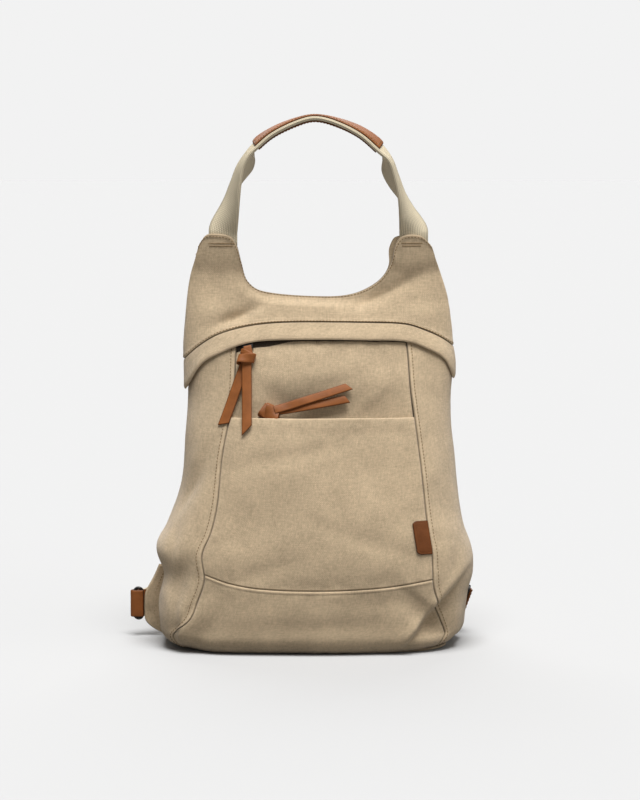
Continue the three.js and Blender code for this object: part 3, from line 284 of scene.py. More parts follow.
def fold_sum(folds, point, angle):
    """Depth that all soft folds add at each point."""
    depth = np.zeros(point.shape[:-1])
    for across, up, long, wide, turn, deep in folds:
        dx = point[..., 0] / HALF_WIDTH - across
        dz = (point[..., 2] - up * BODY_HEIGHT) / HALF_WIDTH
        cos, sin = math.cos(math.radians(turn)), math.sin(math.radians(turn))
        along, side = (dx * cos + dz * sin) / long, (dz * cos - dx * sin) / wide
        depth += deep * FOLD_DEPTH * np.exp(-along * along - side * side)
    return depth * ease(np.cos(angle), -0.3, 0.25)


# Sharp folds of the cloth at the lower corners: two ends of the crest, across and up, drop beside it
# and how far the drop reaches, in millimetres
CRESTS = [
    ((119.0, 60.0), (72.0, 4.0), 9.5, 30.0),
    ((-124.0, 40.0), (-126.0, 4.0), -4.0, 16.0),
]


def crest_sum(point, angle):
    """Depth that the sharp corner folds add at each point."""
    depth = np.zeros(point.shape[:-1])
    for (x0, z0), (x1, z1), deep, reach in CRESTS:
        length = math.hypot(x1 - x0, z1 - z0)
        dx, dz = (x1 - x0) / length, (z1 - z0) / length
        along = ((point[..., 0] - x0) * dx + (point[..., 2] - z0) * dz) / length
        beside = (point[..., 0] - x0) * -dz + (point[..., 2] - z0) * dx
        held = ease(along, -0.45, 0.25) * (1 - ease(along, 0.6, 1.1))
        drop = ease(beside, 0, 5.0) * np.exp(-np.maximum(beside, 0) / reach)
        ridge = 0.18 * np.exp(-((beside + 2) / 4.0) ** 2)
        depth += deep * held * (drop - ridge)
    return depth * ease(np.cos(angle), -0.3, 0.25)


def settle(point):
    """Points of the base lifted a little towards the two corners."""
    out = ease(np.abs(point[..., 0]), 0.62 * HALF_WIDTH, 1.02 * HALF_WIDTH)
    fade = np.clip(1 - point[..., 2] / LIFT_REACH, 0, 1)
    point[..., 2] += CORNER_LIFT * out * fade * fade
    return point


def hull_normal(angle, run):
    """Way out of the smooth body."""
    around = hull_point(angle + 0.02, run) - hull_point(angle - 0.02, run)
    upwards = hull_point(angle, run + 1) - hull_point(angle, run - 1)
    return unit(np.cross(around, upwards))


def body_point(angle, run, depth):
    """Point of the body at a depth below its outer surface, folds and creases included."""
    angle, run = np.broadcast_arrays(np.asarray(angle, float), np.asarray(run, float))
    point = hull_point(angle, run)
    inwards = depth + fold_sum(FOLDS + CREASES, point, angle) + crest_sum(point, angle)
    point = point - hull_normal(angle, run) * inwards[..., None]
    point[..., 0] *= 1 + EAR_SPREAD * ease(point[..., 2], 0.5 * BODY_HEIGHT, 0.95 * BODY_HEIGHT)
    return settle(point)


# Named lines on the body
ARCH_GUESS = 0.72 * BODY_HEIGHT


def across_at(angle, height):
    """Share of the half width at an angle."""
    power = section_at(height)[5]
    return np.sin(angle) * (np.abs(np.sin(angle)) ** power + np.abs(np.cos(angle)) ** power) ** (-1 / power)


def arch_at(across, line):
    """Height of the flap's seam or hem at a share of the half width."""
    return read_table(ARCH_LINES, across)[..., 1 if line == "seam" else 2] * BODY_HEIGHT


def meet_arch(line, angle_at, shape, shift=0.0):
    """Height at which a line that leans with the body meets the flap's seam or hem."""
    height = np.full(shape, ARCH_GUESS)
    for _ in range(4):
        height = arch_at(across_at(angle_at(height), height), line) + shift
    return height


def seam_across(side, height):
    """Place across of the seam beside the front."""
    share = read_table(SIDE_SEAMS, np.asarray(height) / BODY_HEIGHT)[..., 1 if side < 0 else 2]
    half = section_at(height)[0 if side < 0 else 1] - run_inset(height_run(height))
    return side * share * half


def front_across(share, height):
    """Place across on the front at a share between its two seams."""
    left = seam_across(-1, height) + CLEARANCE / 2
    return mix(left, seam_across(1, height) - CLEARANCE / 2, share)


def back_edge(height):
    """Angle of the seam between side and back."""
    power = section_at(height)[5]
    return math.pi - np.arctan2(BACK_EDGE_SHARE, (1 - BACK_EDGE_SHARE ** power) ** (1 / power))


def side_angle(side, share, height):
    """Angle on a side at a share from its front seam to its back seam."""
    front = front_angle(seam_across(side, height) + side * CLEARANCE / 2, height)
    return mix(front, side * back_edge(height), share)


def turn_for(length, angle, height):
    """Angle that goes with a length round the body."""
    run = height_run(height)
    moved = np.linalg.norm(hull_point(angle + 0.01, run) - hull_point(angle, run), axis=-1)
    return length * 0.01 / moved


def back_angle(share, height):
    """Angle on the back at a share between its two seams."""
    edge = back_edge(height)
    edge = edge + turn_for(CLEARANCE, edge, height)
    return mix(edge, 2 * math.pi - edge, share)


def pocket_foot(share):
    """Height of the seam under the pocket."""
    return read_table(POCKET_SEAM, share)[..., 1] * BODY_HEIGHT


def front_arch(share, line, shift=0.0):
    """Height of the flap's seam or hem over the front."""
    def angle_at(height):
        return front_angle(front_across(share, height), height)

    return meet_arch(line, angle_at, np.shape(share), shift)


def front_depth(share, height):
    """Depth of the upper front panel, which gives way behind the pocket's mouth."""
    belly = 1 - np.abs(2 * share - 1) ** 3
    above = ease(height, POCKET_TOP, POCKET_TOP + MOUTH_FADE)
    below = ease(height, POCKET_TOP - POCKET_FADE, POCKET_TOP)
    opened = POCKET_MOUTH * belly * np.where(height > POCKET_TOP, 1 - above, below)
    return opened + mix(CANVAS + STACK_GAP, STACK_GAP, above)


def under_flap(angle, height):
    """Depth of a side panel where the flap lies over it."""
    across = across_at(angle, height)
    hem, seam = arch_at(across, "hem"), arch_at(across, "seam")
    return np.clip((height - hem) / (seam - hem), 0, 1) * (FLAP_THICKNESS + STACK_GAP)


def lattice(i, j, k, seed):
    """Number from -1 to 1 for a corner of the noise lattice."""
    n = (i * 73856093) ^ (j * 19349663) ^ (k * 83492791) ^ (seed * 2654435)
    n = (n ^ (n >> 13)) * 1274126177 & 0x7FFFFFFF
    return (n & 0xFFFF) / 32767.5 - 1


def noise(point, scale, seed):
    """Smooth noise from -1 to 1 over lumps of a given size in millimetres."""
    p = point / scale
    base = np.floor(p).astype(np.int64)
    t = p - base
    t = t * t * (3 - 2 * t)
    total = 0
    for corner in range(8):
        d = np.array([corner & 1, corner >> 1 & 1, corner >> 2 & 1])
        weight = np.prod(np.where(d == 1, t, 1 - t), axis=-1)
        at = base + d
        total = total + weight * lattice(at[..., 0], at[..., 1], at[..., 2], seed)
    return total


# Distances from a panel's edge at which its mesh has a row, densest at the turned edge
EDGE_STEPS = np.array([0, 0.2, 0.45, 0.8, 1.25, 1.8, 2.3, 2.9, 3.6, 4.4, 5.6, 7.2, 9.0])
STITCH_ROW = 6


def spaced(length, step=2.2):
    """Shares along a length in millimetres with the edge steps at both ends."""
    edge = EDGE_STEPS[EDGE_STEPS < 0.42 * length] / length
    middle = np.linspace(edge[-1], 1 - edge[-1], max(int((1 - 2 * edge[-1]) * length / step), 2) + 1)
    return np.concatenate([edge[:-1], middle, 1 - edge[:-1][::-1]])


def edge_gaps(outer):
    """Distance of each point of a grid from its left, right, low and high edge, along the grid."""
    across = np.linalg.norm(np.diff(outer, axis=1), axis=-1)
    upwards = np.linalg.norm(np.diff(outer, axis=0), axis=-1)
    left = np.concatenate([np.zeros((len(outer), 1)), np.cumsum(across, 1)], 1)
    low = np.concatenate([np.zeros((1, outer.shape[1])), np.cumsum(upwards, 0)], 0)
    return left, left[:, -1:] - left, low, low[-1:] - low


def grid_normal(grid):
    """Way each point of a grid faces."""
    normal = np.cross(np.gradient(grid, axis=1), np.gradient(grid, axis=0))
    return normal / np.maximum(np.linalg.norm(normal, axis=-1, keepdims=True), 1e-9)


def facing_of(grid, other):
    """Way each point of a grid faces, away from another grid."""
    normal = grid_normal(grid)
    return -normal if np.sum(normal * (grid - other)) < 0 else normal


# Sewn edges: how far the cloth is raised beside the edge, over what width, how far it is rolled in
# at the edge, how dark the groove at the edge is painted as shade, and how pale the raised part is painted as
# wear and highlight
EDGES = {
    "stitched": (0.34, 3.5, 0.85, 1.0, 0.8),
    "sunk": (0.0, 3.5, 0.75, 1.0, 0.15),
    # Folded and rolled edges carry the most wear and painted highlight
    "fold": (0.25, 9.0, 0.8, 0.0, 1.0),
    "hem": (0.0, 6.0, 0.9, 0.0, 0.9),
    "piped": (0.45, 2.2, 0.55, 0.5, 0.9),
    "hidden": (0.0, 2.0, 0.2, 0.0, 0.0),
}
THREAD_AT = EDGE_STEPS[STITCH_ROW]


def ramp(distance, raised, reach, roll):
    """Height of the cloth near an edge: rolled in at it, lifted over the allowance, sunk at the thread."""
    lift = raised * (ease(distance, 0, 0.9) - ease(distance, reach, reach * 1.35))
    sunk = 0.2 * bell(distance, THREAD_AT, 0.42) if raised == 0.34 else 0
    return lift - roll * (1 - ease(distance, 0, 0.95)) - sunk


def sewn(outer, inner, seed, edges, rumple=1.0):
    """Grids of a panel with its sewn edges, puckers and slack, and masks of painted shade in the seam grooves
    and of wear and painted highlight on the raised bands.
    """
    normal = facing_of(outer, inner)
    gaps = edge_gaps(outer)
    kinds = [EDGES[kind] for kind in edges]
    lift = np.minimum.reduce([ramp(d, k[0], k[1], k[2]) for d, k in zip(gaps, kinds)])
    raised = np.maximum.reduce([ramp(d, k[0], k[1], 0) for d, k in zip(gaps, kinds)])
    lift = np.where(lift < 0, lift, raised)
    near = np.minimum.reduce(gaps)
    pucker = noise(outer, 6.5, seed) * 0.3 * bell(near, 5, 4.5)
    slack = noise(outer, 62.0, seed + 1) * 1.5 + noise(outer, 27.0, seed + 2) * 0.55
    slack += noise(outer, 13.0, seed + 3) * 0.16
    slack = slack * ease(near, 0.3, 16) + noise(outer, 6.0, seed + 4) * 0.05
    slack = (slack + pucker) * rumple
    # Painted shade: a mask that darkens the cloth along each sewn edge, where the groove lies in shade
    groove = np.maximum.reduce([k[3] * bell(d, 0, 0.6) for d, k in zip(gaps, kinds)])
    # Wear and painted highlight: a mask that paints the raised band beside each edge paler
    wear = np.maximum.reduce([k[4] * bell(d, 1.5, 1.3) for d, k in zip(gaps, kinds)])
    moved = normal * slack[..., None]
    return outer + moved + normal * lift[..., None], inner + moved, groove, wear, normal


def sheet_part(outer, inner, groove=0.0, wear=0.0, upright=False):
    """Closed sheet between two grids: points, faces, flat coordinates, a mask of painted shade and edge dye,
    and a mask of wear and painted highlight.
    """
    rows, columns = outer.shape[:2]
    count = rows * columns
    at = np.arange(count).reshape(rows, columns)
    face = np.stack([at[:-1, :-1], at[:-1, 1:], at[1:, 1:], at[1:, :-1]], -1).reshape(-1, 4)
    ring = np.concatenate([at[0, :-1], at[:-1, -1], at[-1, :0:-1], at[:0:-1, 0]])
    after = np.roll(ring, -1)
    rim = np.stack([after, ring, ring + count, after + count], -1)
    left, _, low, _ = edge_gaps(outer)
    flat = outer[..., (0, 2)] if upright else np.stack([left, low], -1)
    flat = np.tile(flat.reshape(-1, 2), (2, 1)) * MM
    masks = [np.tile(np.broadcast_to(mask, (rows, columns)).reshape(-1), 2) for mask in (groove, wear)]
    points = np.concatenate([outer.reshape(-1, 3), inner.reshape(-1, 3)])
    return points, np.concatenate([face, face[:, ::-1] + count, rim]), flat, *masks


def sweep_part(origins, xs, ys, section, closed=False):
    """Solid of one closed section carried along a path, given its two axes at each step."""
    origins, xs, ys = (np.asarray(a, float) for a in (origins, xs, ys))
    section = np.asarray(section, float)
    steps, around = len(origins), len(section)
    points = origins[:, None] + xs[:, None] * section[None, :, :1] + ys[:, None] * section[None, :, 1:]
    at = np.arange(steps * around).reshape(steps, around)
    after = np.roll(at, -1, axis=1)
    end = np.roll(at, -1, axis=0), np.roll(after, -1, axis=0)
    quads = np.stack([at, after, end[1], end[0]], -1)
    faces = [tuple(f) for f in (quads if closed else quads[:-1]).reshape(-1, 4)]
    if not closed:
        faces += [tuple(at[0, ::-1]), tuple(at[-1])]
    along = np.concatenate([[0], np.cumsum(np.linalg.norm(np.diff(origins, axis=0), axis=-1))])
    side = np.concatenate([[0], np.cumsum(np.linalg.norm(np.diff(section, axis=0), axis=-1))])
    flat = np.stack(np.meshgrid(side, along), -1).reshape(-1, 2) * MM
    none = np.zeros(steps * around)
    return points.reshape(-1, 3), faces, flat, none, none


def place_part(part, matrix):
    """A part moved by a 4 by 4 matrix."""
    matrix = np.asarray(matrix, float)
    return (part[0] @ matrix[:3, :3].T + matrix[:3, 3], *part[1:])


def outward(points, faces):
    """Faces turned to look out of their solid."""
    volume = 0.0
    for f in faces:
        a = points[f[0]]
        for k in range(1, len(f) - 1):
            volume += np.dot(a, np.cross(points[f[k]], points[f[k + 1]]))
    return [tuple(f)[::-1] for f in faces] if volume < 0 else faces


def placed(name, data):
    """Object linked into the scene."""
    thing = bpy.data.objects.new(name, data)
    bpy.context.scene.collection.objects.link(thing)
    return thing


def build(name, parts, finish, nodes):
    """Object of several parts, tied to the frame and to the nodes it stands for."""
    points, faces, flat, groove, wear = [], [], [], [], []
    start = 0
    for part in parts:
        local = [tuple(int(i) for i in f) for f in part[1]]
        faces += [tuple(i + start for i in f) for f in outward(part[0], local)]
        points.append(part[0])
        flat.append(part[2])
        groove.append(part[3])
        wear.append(part[4])
        start += len(part[0])
    points, flat = np.concatenate(points), np.concatenate(flat)
    mesh = bpy.data.meshes.new(name)
    mesh.from_pydata((points * MM).tolist(), [], faces)
    corners = np.zeros(len(mesh.loops), np.int32)
    mesh.loops.foreach_get("vertex_index", corners)
    mesh.uv_layers.new(name="flat").data.foreach_set("uv", flat[corners].reshape(-1))
    # Masks for the materials: painted shade in cloth grooves and dye on leather edges, and wear with painted
    # highlight
    for label, values in (("groove", groove), ("wear", wear)):
        mesh.attributes.new(label, "FLOAT", "POINT").data.foreach_set("value", np.concatenate(values))
    mesh.polygons.foreach_set("use_smooth", [True] * len(mesh.polygons))
    mesh.materials.append(finish)
    mesh.validate()
    mesh.update()
    piece = placed(name, mesh)
    return tie(piece, nodes)


def tie(piece, nodes):
    """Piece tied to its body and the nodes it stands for."""
    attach(piece, "root")
    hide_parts(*nodes)
    return piece


# Small parts repeated along lines
def row_tree():
    """Node tree that sets rounded parts of one size along drawn lines, by their facing."""
    name = "Parts along a line"
    if name in bpy.data.node_groups:
        return bpy.data.node_groups[name]
    tree = bpy.data.node_groups.new(name, "GeometryNodeTree")
    new = tree.interface.new_socket
    new("Geometry", in_out="INPUT", socket_type="NodeSocketGeometry")
    pitch = new("Pitch", in_out="INPUT", socket_type="NodeSocketFloat")
    pitch.subtype, pitch.default_value = "DISTANCE", 0.0033
    size = new("Size", in_out="INPUT", socket_type="NodeSocketVector")
    size.default_value = (0.0024, 0.0007, 0.0007)
    new("Material", in_out="INPUT", socket_type="NodeSocketMaterial")
    new("Geometry", in_out="OUTPUT", socket_type="NodeSocketGeometry")
    g = Graph(tree)
    given = g.add("NodeGroupInput").outputs
    curve = g.add("GeometryNodeMeshToCurve", {"Mesh": given["Geometry"]})
    spacing = {"Curve": curve.outputs["Curve"], "Length": given["Pitch"]}
    even = g.add("GeometryNodeResampleCurve", spacing, mode="LENGTH")
    ball = g.add("GeometryNodeMeshUVSphere", {"Segments": 8, "Rings": 5, "Radius": 0.5})
    sized = g.add("GeometryNodeTransform", {"Geometry": ball.outputs["Mesh"], "Scale": given["Size"]})
    facing = g.add("GeometryNodeInputNamedAttribute", {"Name": "facing"}, data_type="FLOAT_VECTOR")
    upright = g.add(
        "FunctionNodeAlignRotationToVector", {"Vector": facing.outputs["Attribute"]}, axis="Z"
    )
    tangent = g.add("GeometryNodeInputTangent")
    turned = g.add(
        "FunctionNodeAlignRotationToVector",
        {"Rotation": upright.outputs["Rotation"], "Vector": tangent.outputs["Tangent"]},
        axis="X", pivot_axis="Z",
    )
    placed = g.add("GeometryNodeInstanceOnPoints", {
        "Points": even.outputs["Curve"],
        "Instance": sized.outputs["Geometry"],
        "Rotation": turned.outputs["Rotation"],
    })
    real = g.add("GeometryNodeRealizeInstances", {"Geometry": placed.outputs["Instances"]})
    soft = g.add("GeometryNodeSetShadeSmooth", {"Geometry": real.outputs["Geometry"]})
    painted = g.add(
        "GeometryNodeSetMaterial", {"Geometry": soft.outputs["Geometry"], "Material": given["Material"]}
    )
    g.add("NodeGroupOutput", {"Geometry": painted.outputs["Geometry"]})
    return tree


def repeated(name, lines, pitch, size, finish, nodes):
    """Piece of small parts along lines, each line a pair of points and facings in millimetres."""
    mesh = bpy.data.meshes.new(name)
    points = np.concatenate([line[0] for line in lines])
    facing = np.concatenate([line[1] for line in lines])
    edges, start = [], 0
    for line, _ in lines:
        edges += [(i, i + 1) for i in range(start, start + len(line) - 1)]
        start += len(line)
    mesh.from_pydata((points * MM).tolist(), edges, [])
    mesh.attributes.new("facing", "FLOAT_VECTOR", "POINT").data.foreach_set("vector", facing.reshape(-1))
    piece = placed(name, mesh)
    modifier = piece.modifiers.new("row", "NODES")
    tree = row_tree()
    modifier.node_group = tree
    values = {"Pitch": pitch, "Size": size, "Material": finish}
    for item in tree.interface.items_tree:
        if item.in_out == "INPUT" and item.name in values:
            modifier[item.identifier] = values[item.name]
    graph = bpy.context.evaluated_depsgraph_get()
    made = bpy.data.meshes.new_from_object(piece.evaluated_get(graph), depsgraph=graph)
    piece.modifiers.clear()
    piece.data = made
    made.name = name
    if not len(made.polygons):
        raise RuntimeError(f"{name} came out empty")
    return tie(piece, nodes)


def stitched(name, lines, nodes, finish="Thread"):
    """Piece of single stitches along lines."""
    thread = bpy.context.scene.backpack.thread
    size = (thread.stitch, 2 * thread.radius, 2 * thread.radius)
    return repeated(name, lines, thread.pitch, size, finish_of(finish), nodes)


def thread_line(points, normals, lift=THREAD_LIFT):
    """Line for stitches or teeth, lifted a little from the face below."""
    return points + normals * lift, normals


# Nodes of materials
class Graph:
    """Short writing of a node tree."""

    def __init__(self, tree):
        self.tree = tree

    def add(self, kind, inputs=None, **settings):
        node = self.tree.nodes.new(kind)
        for key, value in settings.items():
            setattr(node, key, value)
        for key, value in (inputs or {}).items():
            if isinstance(value, bpy.types.NodeSocket):
                self.tree.links.new(value, node.inputs[key])
            else:
                node.inputs[key].default_value = value
        return node

    def math(self, operation, *values):
        node = self.add("ShaderNodeMath", dict(enumerate(values)), operation=operation)
        return node.outputs[0]

    def scaled(self, vector, scale):
        node = self.add("ShaderNodeVectorMath", {0: vector, 1: scale}, operation="MULTIPLY")
        return node.outputs[0]

    def noise(self, vector, scale, detail=3.0, rough=0.55, distort=0.0):
        node = self.add("ShaderNodeTexNoise", {
            "Vector": vector, "Scale": scale, "Detail": detail, "Roughness": rough, "Distortion": distort,
        })
        return node.outputs["Fac"]

    def map(self, value, low, high, to_low=0.0, to_high=1.0):
        node = self.add("ShaderNodeMapRange", {
            "Value": value, "From Min": low, "From Max": high, "To Min": to_low, "To Max": to_high,
        })
        return node.outputs["Result"]

    def blend(self, factor, a, b):
        node = self.add("ShaderNodeMix", {0: factor, 6: a, 7: b}, data_type="RGBA")
        return node.outputs[2]


def effect(name, inputs, outputs, fill):
    """Shader node group with named sockets, made once; fill links its nodes and gives the outputs."""
    if name in bpy.data.node_groups:
        return bpy.data.node_groups[name]
    tree = bpy.data.node_groups.new(name, "ShaderNodeTree")
    for key, (kind, default) in inputs.items():
        socket = tree.interface.new_socket(key, in_out="INPUT", socket_type=kind)
        socket.default_value = default
    for key in outputs:
        tree.interface.new_socket(key, in_out="OUTPUT", socket_type="NodeSocketFloat")
    g = Graph(tree)
    given = g.add("NodeGroupInput").outputs
    g.add("NodeGroupOutput", dict(zip(outputs, fill(g, given))))
    return tree


def use(g, tree, **inputs):
    """Outputs of a node group set in a material."""
    return g.add("ShaderNodeGroup", inputs, node_tree=tree).outputs


VECTOR = ("NodeSocketVector", (0.0, 0.0, 0.0))


def weave_effect():
    """Plain weave of uneven yarns: height of the cloth and the tone of the single yarns."""
    def fill(g, given):
        drift = g.add("ShaderNodeTexNoise", {"Vector": given["Vector"], "Scale": 160.0, "Detail": 2.0})
        moved = g.scaled(drift.outputs["Color"], (0.0006, 0.0006, 0.0))
        even = g.add("ShaderNodeVectorMath", {0: given["Vector"], 1: moved}, operation="ADD").outputs[0]
        count = g.math("DIVIDE", 1.0, given["Pitch"])
        sized = g.add("ShaderNodeVectorMath", {0: even, "Scale": count}, operation="SCALE").outputs[0]
        axes = g.add("ShaderNodeSeparateXYZ", {0: sized}).outputs
        u, v = axes[0], axes[1]
        warp = g.math("ABSOLUTE", g.math("SINE", g.math("MULTIPLY", u, math.pi)))
        weft = g.math("ABSOLUTE", g.math("SINE", g.math("MULTIPLY", v, math.pi)))
        over = g.math("MODULO", g.math("ADD", g.math("FLOOR", u), g.math("FLOOR", v)), 2.0)
        over = g.math("ABSOLUTE", over)
        height = g.add("ShaderNodeMix", {0: over, 2: warp, 3: weft}).outputs[0]
        yarns_u = g.noise(g.scaled(sized, (1.0, 0.1, 1.0)), 1.0, 2.0)
        yarns_v = g.noise(g.scaled(sized, (0.1, 1.0, 1.0)), 1.0, 2.0)
        return height, g.math("MULTIPLY", g.math("ADD", yarns_u, yarns_v), 0.5)

    inputs = {"Vector": VECTOR, "Pitch": ("NodeSocketFloat", 0.0009)}
    return effect("Plain weave", inputs, ("Height", "Yarns"), fill)


def mottle_effect():
    """Uneven tone of washed cloth or hide at three sizes."""
    def fill(g, given):
        broad = g.noise(given["Vector"], 11.0, 3.0, 0.5, 0.4)
        middle = g.noise(given["Vector"], 55.0, 4.0, 0.6)
        fine = g.noise(given["Vector"], 420.0, 2.0, 0.6)
        return broad, middle, fine

    return effect("Mottling", {"Vector": VECTOR}, ("Broad", "Middle", "Fine"), fill)


def hide_effect():
    """Grain of leather: pores and fine wrinkles as a height, and a patchy tone."""
    def fill(g, given):
        pores = g.add("ShaderNodeTexVoronoi", {"Vector": given["Vector"], "Scale": 900.0})
        wrinkles = g.noise(given["Vector"], 260.0, 4.0, 0.6, 0.8)
        height = g.math("ADD", g.math("MULTIPLY", pores.outputs["Distance"], 0.6), wrinkles)
        return height, g.noise(given["Vector"], 70.0, 4.0, 0.6)

    return effect("Leather grain", {"Vector": VECTOR}, ("Height", "Patches"), fill)


def rib_effect():
    """Heavy webbing: ribs across its length and the cords between them."""
    def fill(g, given):
        count = g.math("DIVIDE", math.pi, given["Pitch"])
        axes = g.add("ShaderNodeSeparateXYZ", {0: given["Vector"]}).outputs
        cords = g.math("ABSOLUTE", g.math("SINE", g.math("MULTIPLY", axes[0], count)))
        shift = g.math("MULTIPLY", g.math("FLOOR", g.math("DIVIDE", axes[0], given["Pitch"])), 0.5)
        turns = g.math("ADD", g.math("MULTIPLY", axes[1], g.math("DIVIDE", 1.0, given["Pitch"])), shift)
        ribs = g.math("ABSOLUTE", g.math("SINE", g.math("MULTIPLY", turns, math.pi)))
        return (g.math("MULTIPLY", cords, g.math("ADD", g.math("MULTIPLY", ribs, 0.6), 0.4)),)

    inputs = {"Vector": VECTOR, "Pitch": ("NodeSocketFloat", 0.0014)}
    return effect("Webbing ribs", inputs, ("Height",), fill)


def new_finish(name):
    """Material with its graph, its shader and its coordinates."""
    material = bpy.data.materials.new(name)
    material.use_nodes = True
    g = Graph(material.node_tree)
    shader = material.node_tree.nodes["Principled BSDF"]
    coords = g.add("ShaderNodeTexCoord").outputs
    return material, g, shader, coords


def attribute(g, name):
    """Mask that the mesh carries."""
    return g.add("ShaderNodeAttribute", attribute_name=name).outputs["Fac"]


def bump(g, shader, height, strength, distance):
    """Height turned into small relief."""
    node = g.add("ShaderNodeBump", {"Height": height, "Strength": strength, "Distance": distance})
    g.tree.links.new(node.outputs["Normal"], shader.inputs["Normal"])


def toned(tone, times, plus=0.0):
    """A colour made darker or paler, with full cover."""
    return tuple(min(c * times + plus, 1) for c in tone) + (1,)


def masked(g, mask, share, colour, other):
    """Colour blended to another one by a share of a mask of the mesh."""
    return g.blend(g.math("MULTIPLY", attribute(g, mask), share), colour, other)


def cloth_finish(name, tone, pitch, contrast=1.0):
    """Washed canvas: weave and uneven yarns, mottling, crests painted pale as wear and painted highlight, and
    painted shade in the seam grooves.
    """
    material, g, shader, coords = new_finish(name)
    weave = use(g, weave_effect(), Vector=coords["UV"], Pitch=pitch)
    mottle = use(g, mottle_effect(), Vector=coords["Object"])
    mixed = g.math("MULTIPLY", mottle["Broad"], 0.25)
    mixed = g.math("ADD", mixed, g.math("MULTIPLY", mottle["Middle"], 0.35))
    mixed = g.math("ADD", mixed, g.math("MULTIPLY", mottle["Fine"], 0.4))
    mixed = g.math("ADD", g.math("MULTIPLY", g.math("SUBTRACT", mixed, 0.5), 2.4 * contrast), 0.5)
    mixed = g.math("ADD", mixed, g.math("MULTIPLY", g.math("SUBTRACT", weave["Yarns"], 0.5), 1.7))
    mixed = g.math("ADD", mixed, g.math("MULTIPLY", g.math("SUBTRACT", weave["Height"], 0.5), 0.22))
    colour = g.blend(g.map(mixed, 0.0, 1.0), toned(tone, 0.74), toned(tone, 1.22, 0.015))
    patchy = g.map(mottle["Middle"], 0.35, 0.7, 0.1, 0.6)
    # Wear and painted highlight: raised crests beside the edges painted paler
    colour = masked(g, "wear", patchy, colour, toned(tone, 1.45, 0.03))
    # Painted shade: the seam grooves painted dark
    colour = masked(g, "groove", 0.6, colour, toned(tone, 0.3))
    g.tree.links.new(colour, shader.inputs["Base Color"])
    shader.inputs["Roughness"].default_value = 0.92
    shader.inputs["Specular IOR Level"].default_value = 0.18
    shader.inputs["Sheen Weight"].default_value = 0.25
    shader.inputs["Sheen Roughness"].default_value = 0.6
    height = g.math("ADD", weave["Height"], g.math("MULTIPLY", mottle["Fine"], 0.9))
    bump(g, shader, height, 0.55, 0.00035)
    return material


def hide_finish(name, tone, rough=0.5):
    """Dyed leather: grain, patchy tone, dark edges and paler worn faces."""
    material, g, shader, coords = new_finish(name)
    hide = use(g, hide_effect(), Vector=coords["Object"])
    pale = toned(tone, 1.4, 0.004)
    colour = g.blend(g.map(hide["Patches"], 0.3, 0.7), toned(tone, 0.55), pale)
    colour = g.blend(0.55, colour, toned(tone, 1))
    colour = masked(g, "groove", 0.7, colour, toned(tone, 0.25))
    colour = masked(g, "wear", 0.3, colour, pale)
    g.tree.links.new(colour, shader.inputs["Base Color"])
    g.tree.links.new(g.map(hide["Patches"], 0.2, 0.8, rough - 0.08, rough + 0.12), shader.inputs["Roughness"])
    shader.inputs["Specular IOR Level"].default_value = 0.25
    bump(g, shader, hide["Height"], 0.5, 0.00025)
    return material


def webbing_finish(name, tone):
    """Cream webbing with ribs, cords, a little soiling and painted shade along its edges."""
    material, g, shader, coords = new_finish(name)
    ribs = use(g, rib_effect(), Vector=coords["UV"], Pitch=0.0016)
    mottle = use(g, mottle_effect(), Vector=coords["Object"])
    soiled = g.math("MULTIPLY", mottle["Middle"], 0.5)
    mixed = g.math("ADD", g.math("MULTIPLY", ribs["Height"], 0.7), soiled)
    colour = g.blend(g.map(mixed, 0.15, 0.95), toned(tone, 0.62), toned(tone, 1))
    # Painted shade: the webbing painted darker along its edges
    colour = masked(g, "groove", 0.6, colour, toned(tone, 0.35))
    g.tree.links.new(colour, shader.inputs["Base Color"])
    shader.inputs["Roughness"].default_value = 0.88
    shader.inputs["Specular IOR Level"].default_value = 0.2
    bump(g, shader, ribs["Height"], 0.8, 0.0005)
    return material


def metal_finish(name, tone):
    """Dark plated metal with worn, brighter patches and fine scratches."""
    material, g, shader, coords = new_finish(name)
    patches = g.noise(coords["Object"], 180.0, 4.0, 0.6)
    fine = g.noise(g.scaled(coords["Object"], (1.0, 1.0, 6.0)), 900.0, 2.0)
    colour = g.blend(g.map(patches, 0.45, 0.75), toned(tone, 1), toned(tone, 1.9))
    g.tree.links.new(colour, shader.inputs["Base Color"])
    g.tree.links.new(g.map(patches, 0.3, 0.7, 0.28, 0.45), shader.inputs["Roughness"])
    shader.inputs["Metallic"].default_value = 1.0
    bump(g, shader, fine, 0.25, 0.0001)
    return material


# Finishes: how each is made, the colour it takes, and what else it needs
FINISHES = {
    "Canvas": (cloth_finish, "canvas", 0.0009),
    "Zip tape": (cloth_finish, "zip_tape", 0.0006, 0.5),
    "Webbing": (webbing_finish, "webbing"),
    "Leather": (hide_finish, "leather"),
    "Label leather": (hide_finish, "label", 0.45),
    "Zip coil": (hide_finish, "zip_coil", 0.4),
    "Gunmetal": (metal_finish, "metal"),
    "Thread": (hide_finish, "thread", 0.7),
    "Pale thread": (hide_finish, "pale_thread", 0.7),
}


def finish_of(name):
    """Material of that name, made the first time it is asked for."""
    if name not in bpy.data.materials:
        make, key, *rest = FINISHES[name]
        make(name, tuple(getattr(bpy.context.scene.backpack.colours, key)), *rest)
    return bpy.data.materials[name]


# Panels of the body
def grid_of(width, length, step):
    """Shares across and up for a mesh over a panel of about that size."""
    return np.meshgrid(spaced(width, step), spaced(length, step))


def cloth_step():
    """Spacing of the cloth's mesh in millimetres."""
    return bpy.context.scene.backpack.cloth.step / MM


def rumple():
    """Share of the slack and puckers that show."""
    return bpy.context.scene.backpack.cloth.rumple


def wall_grid(s, runs, angle_at, depth_at, thick=CANVAS):
    """Outer and inner grid of a wall at angles and depths."""
    height = run_height(runs)
    angle = angle_at(s, height)
    depth = depth_at(angle, height)
    return body_point(angle, runs, depth), body_point(angle, runs, depth + thick)


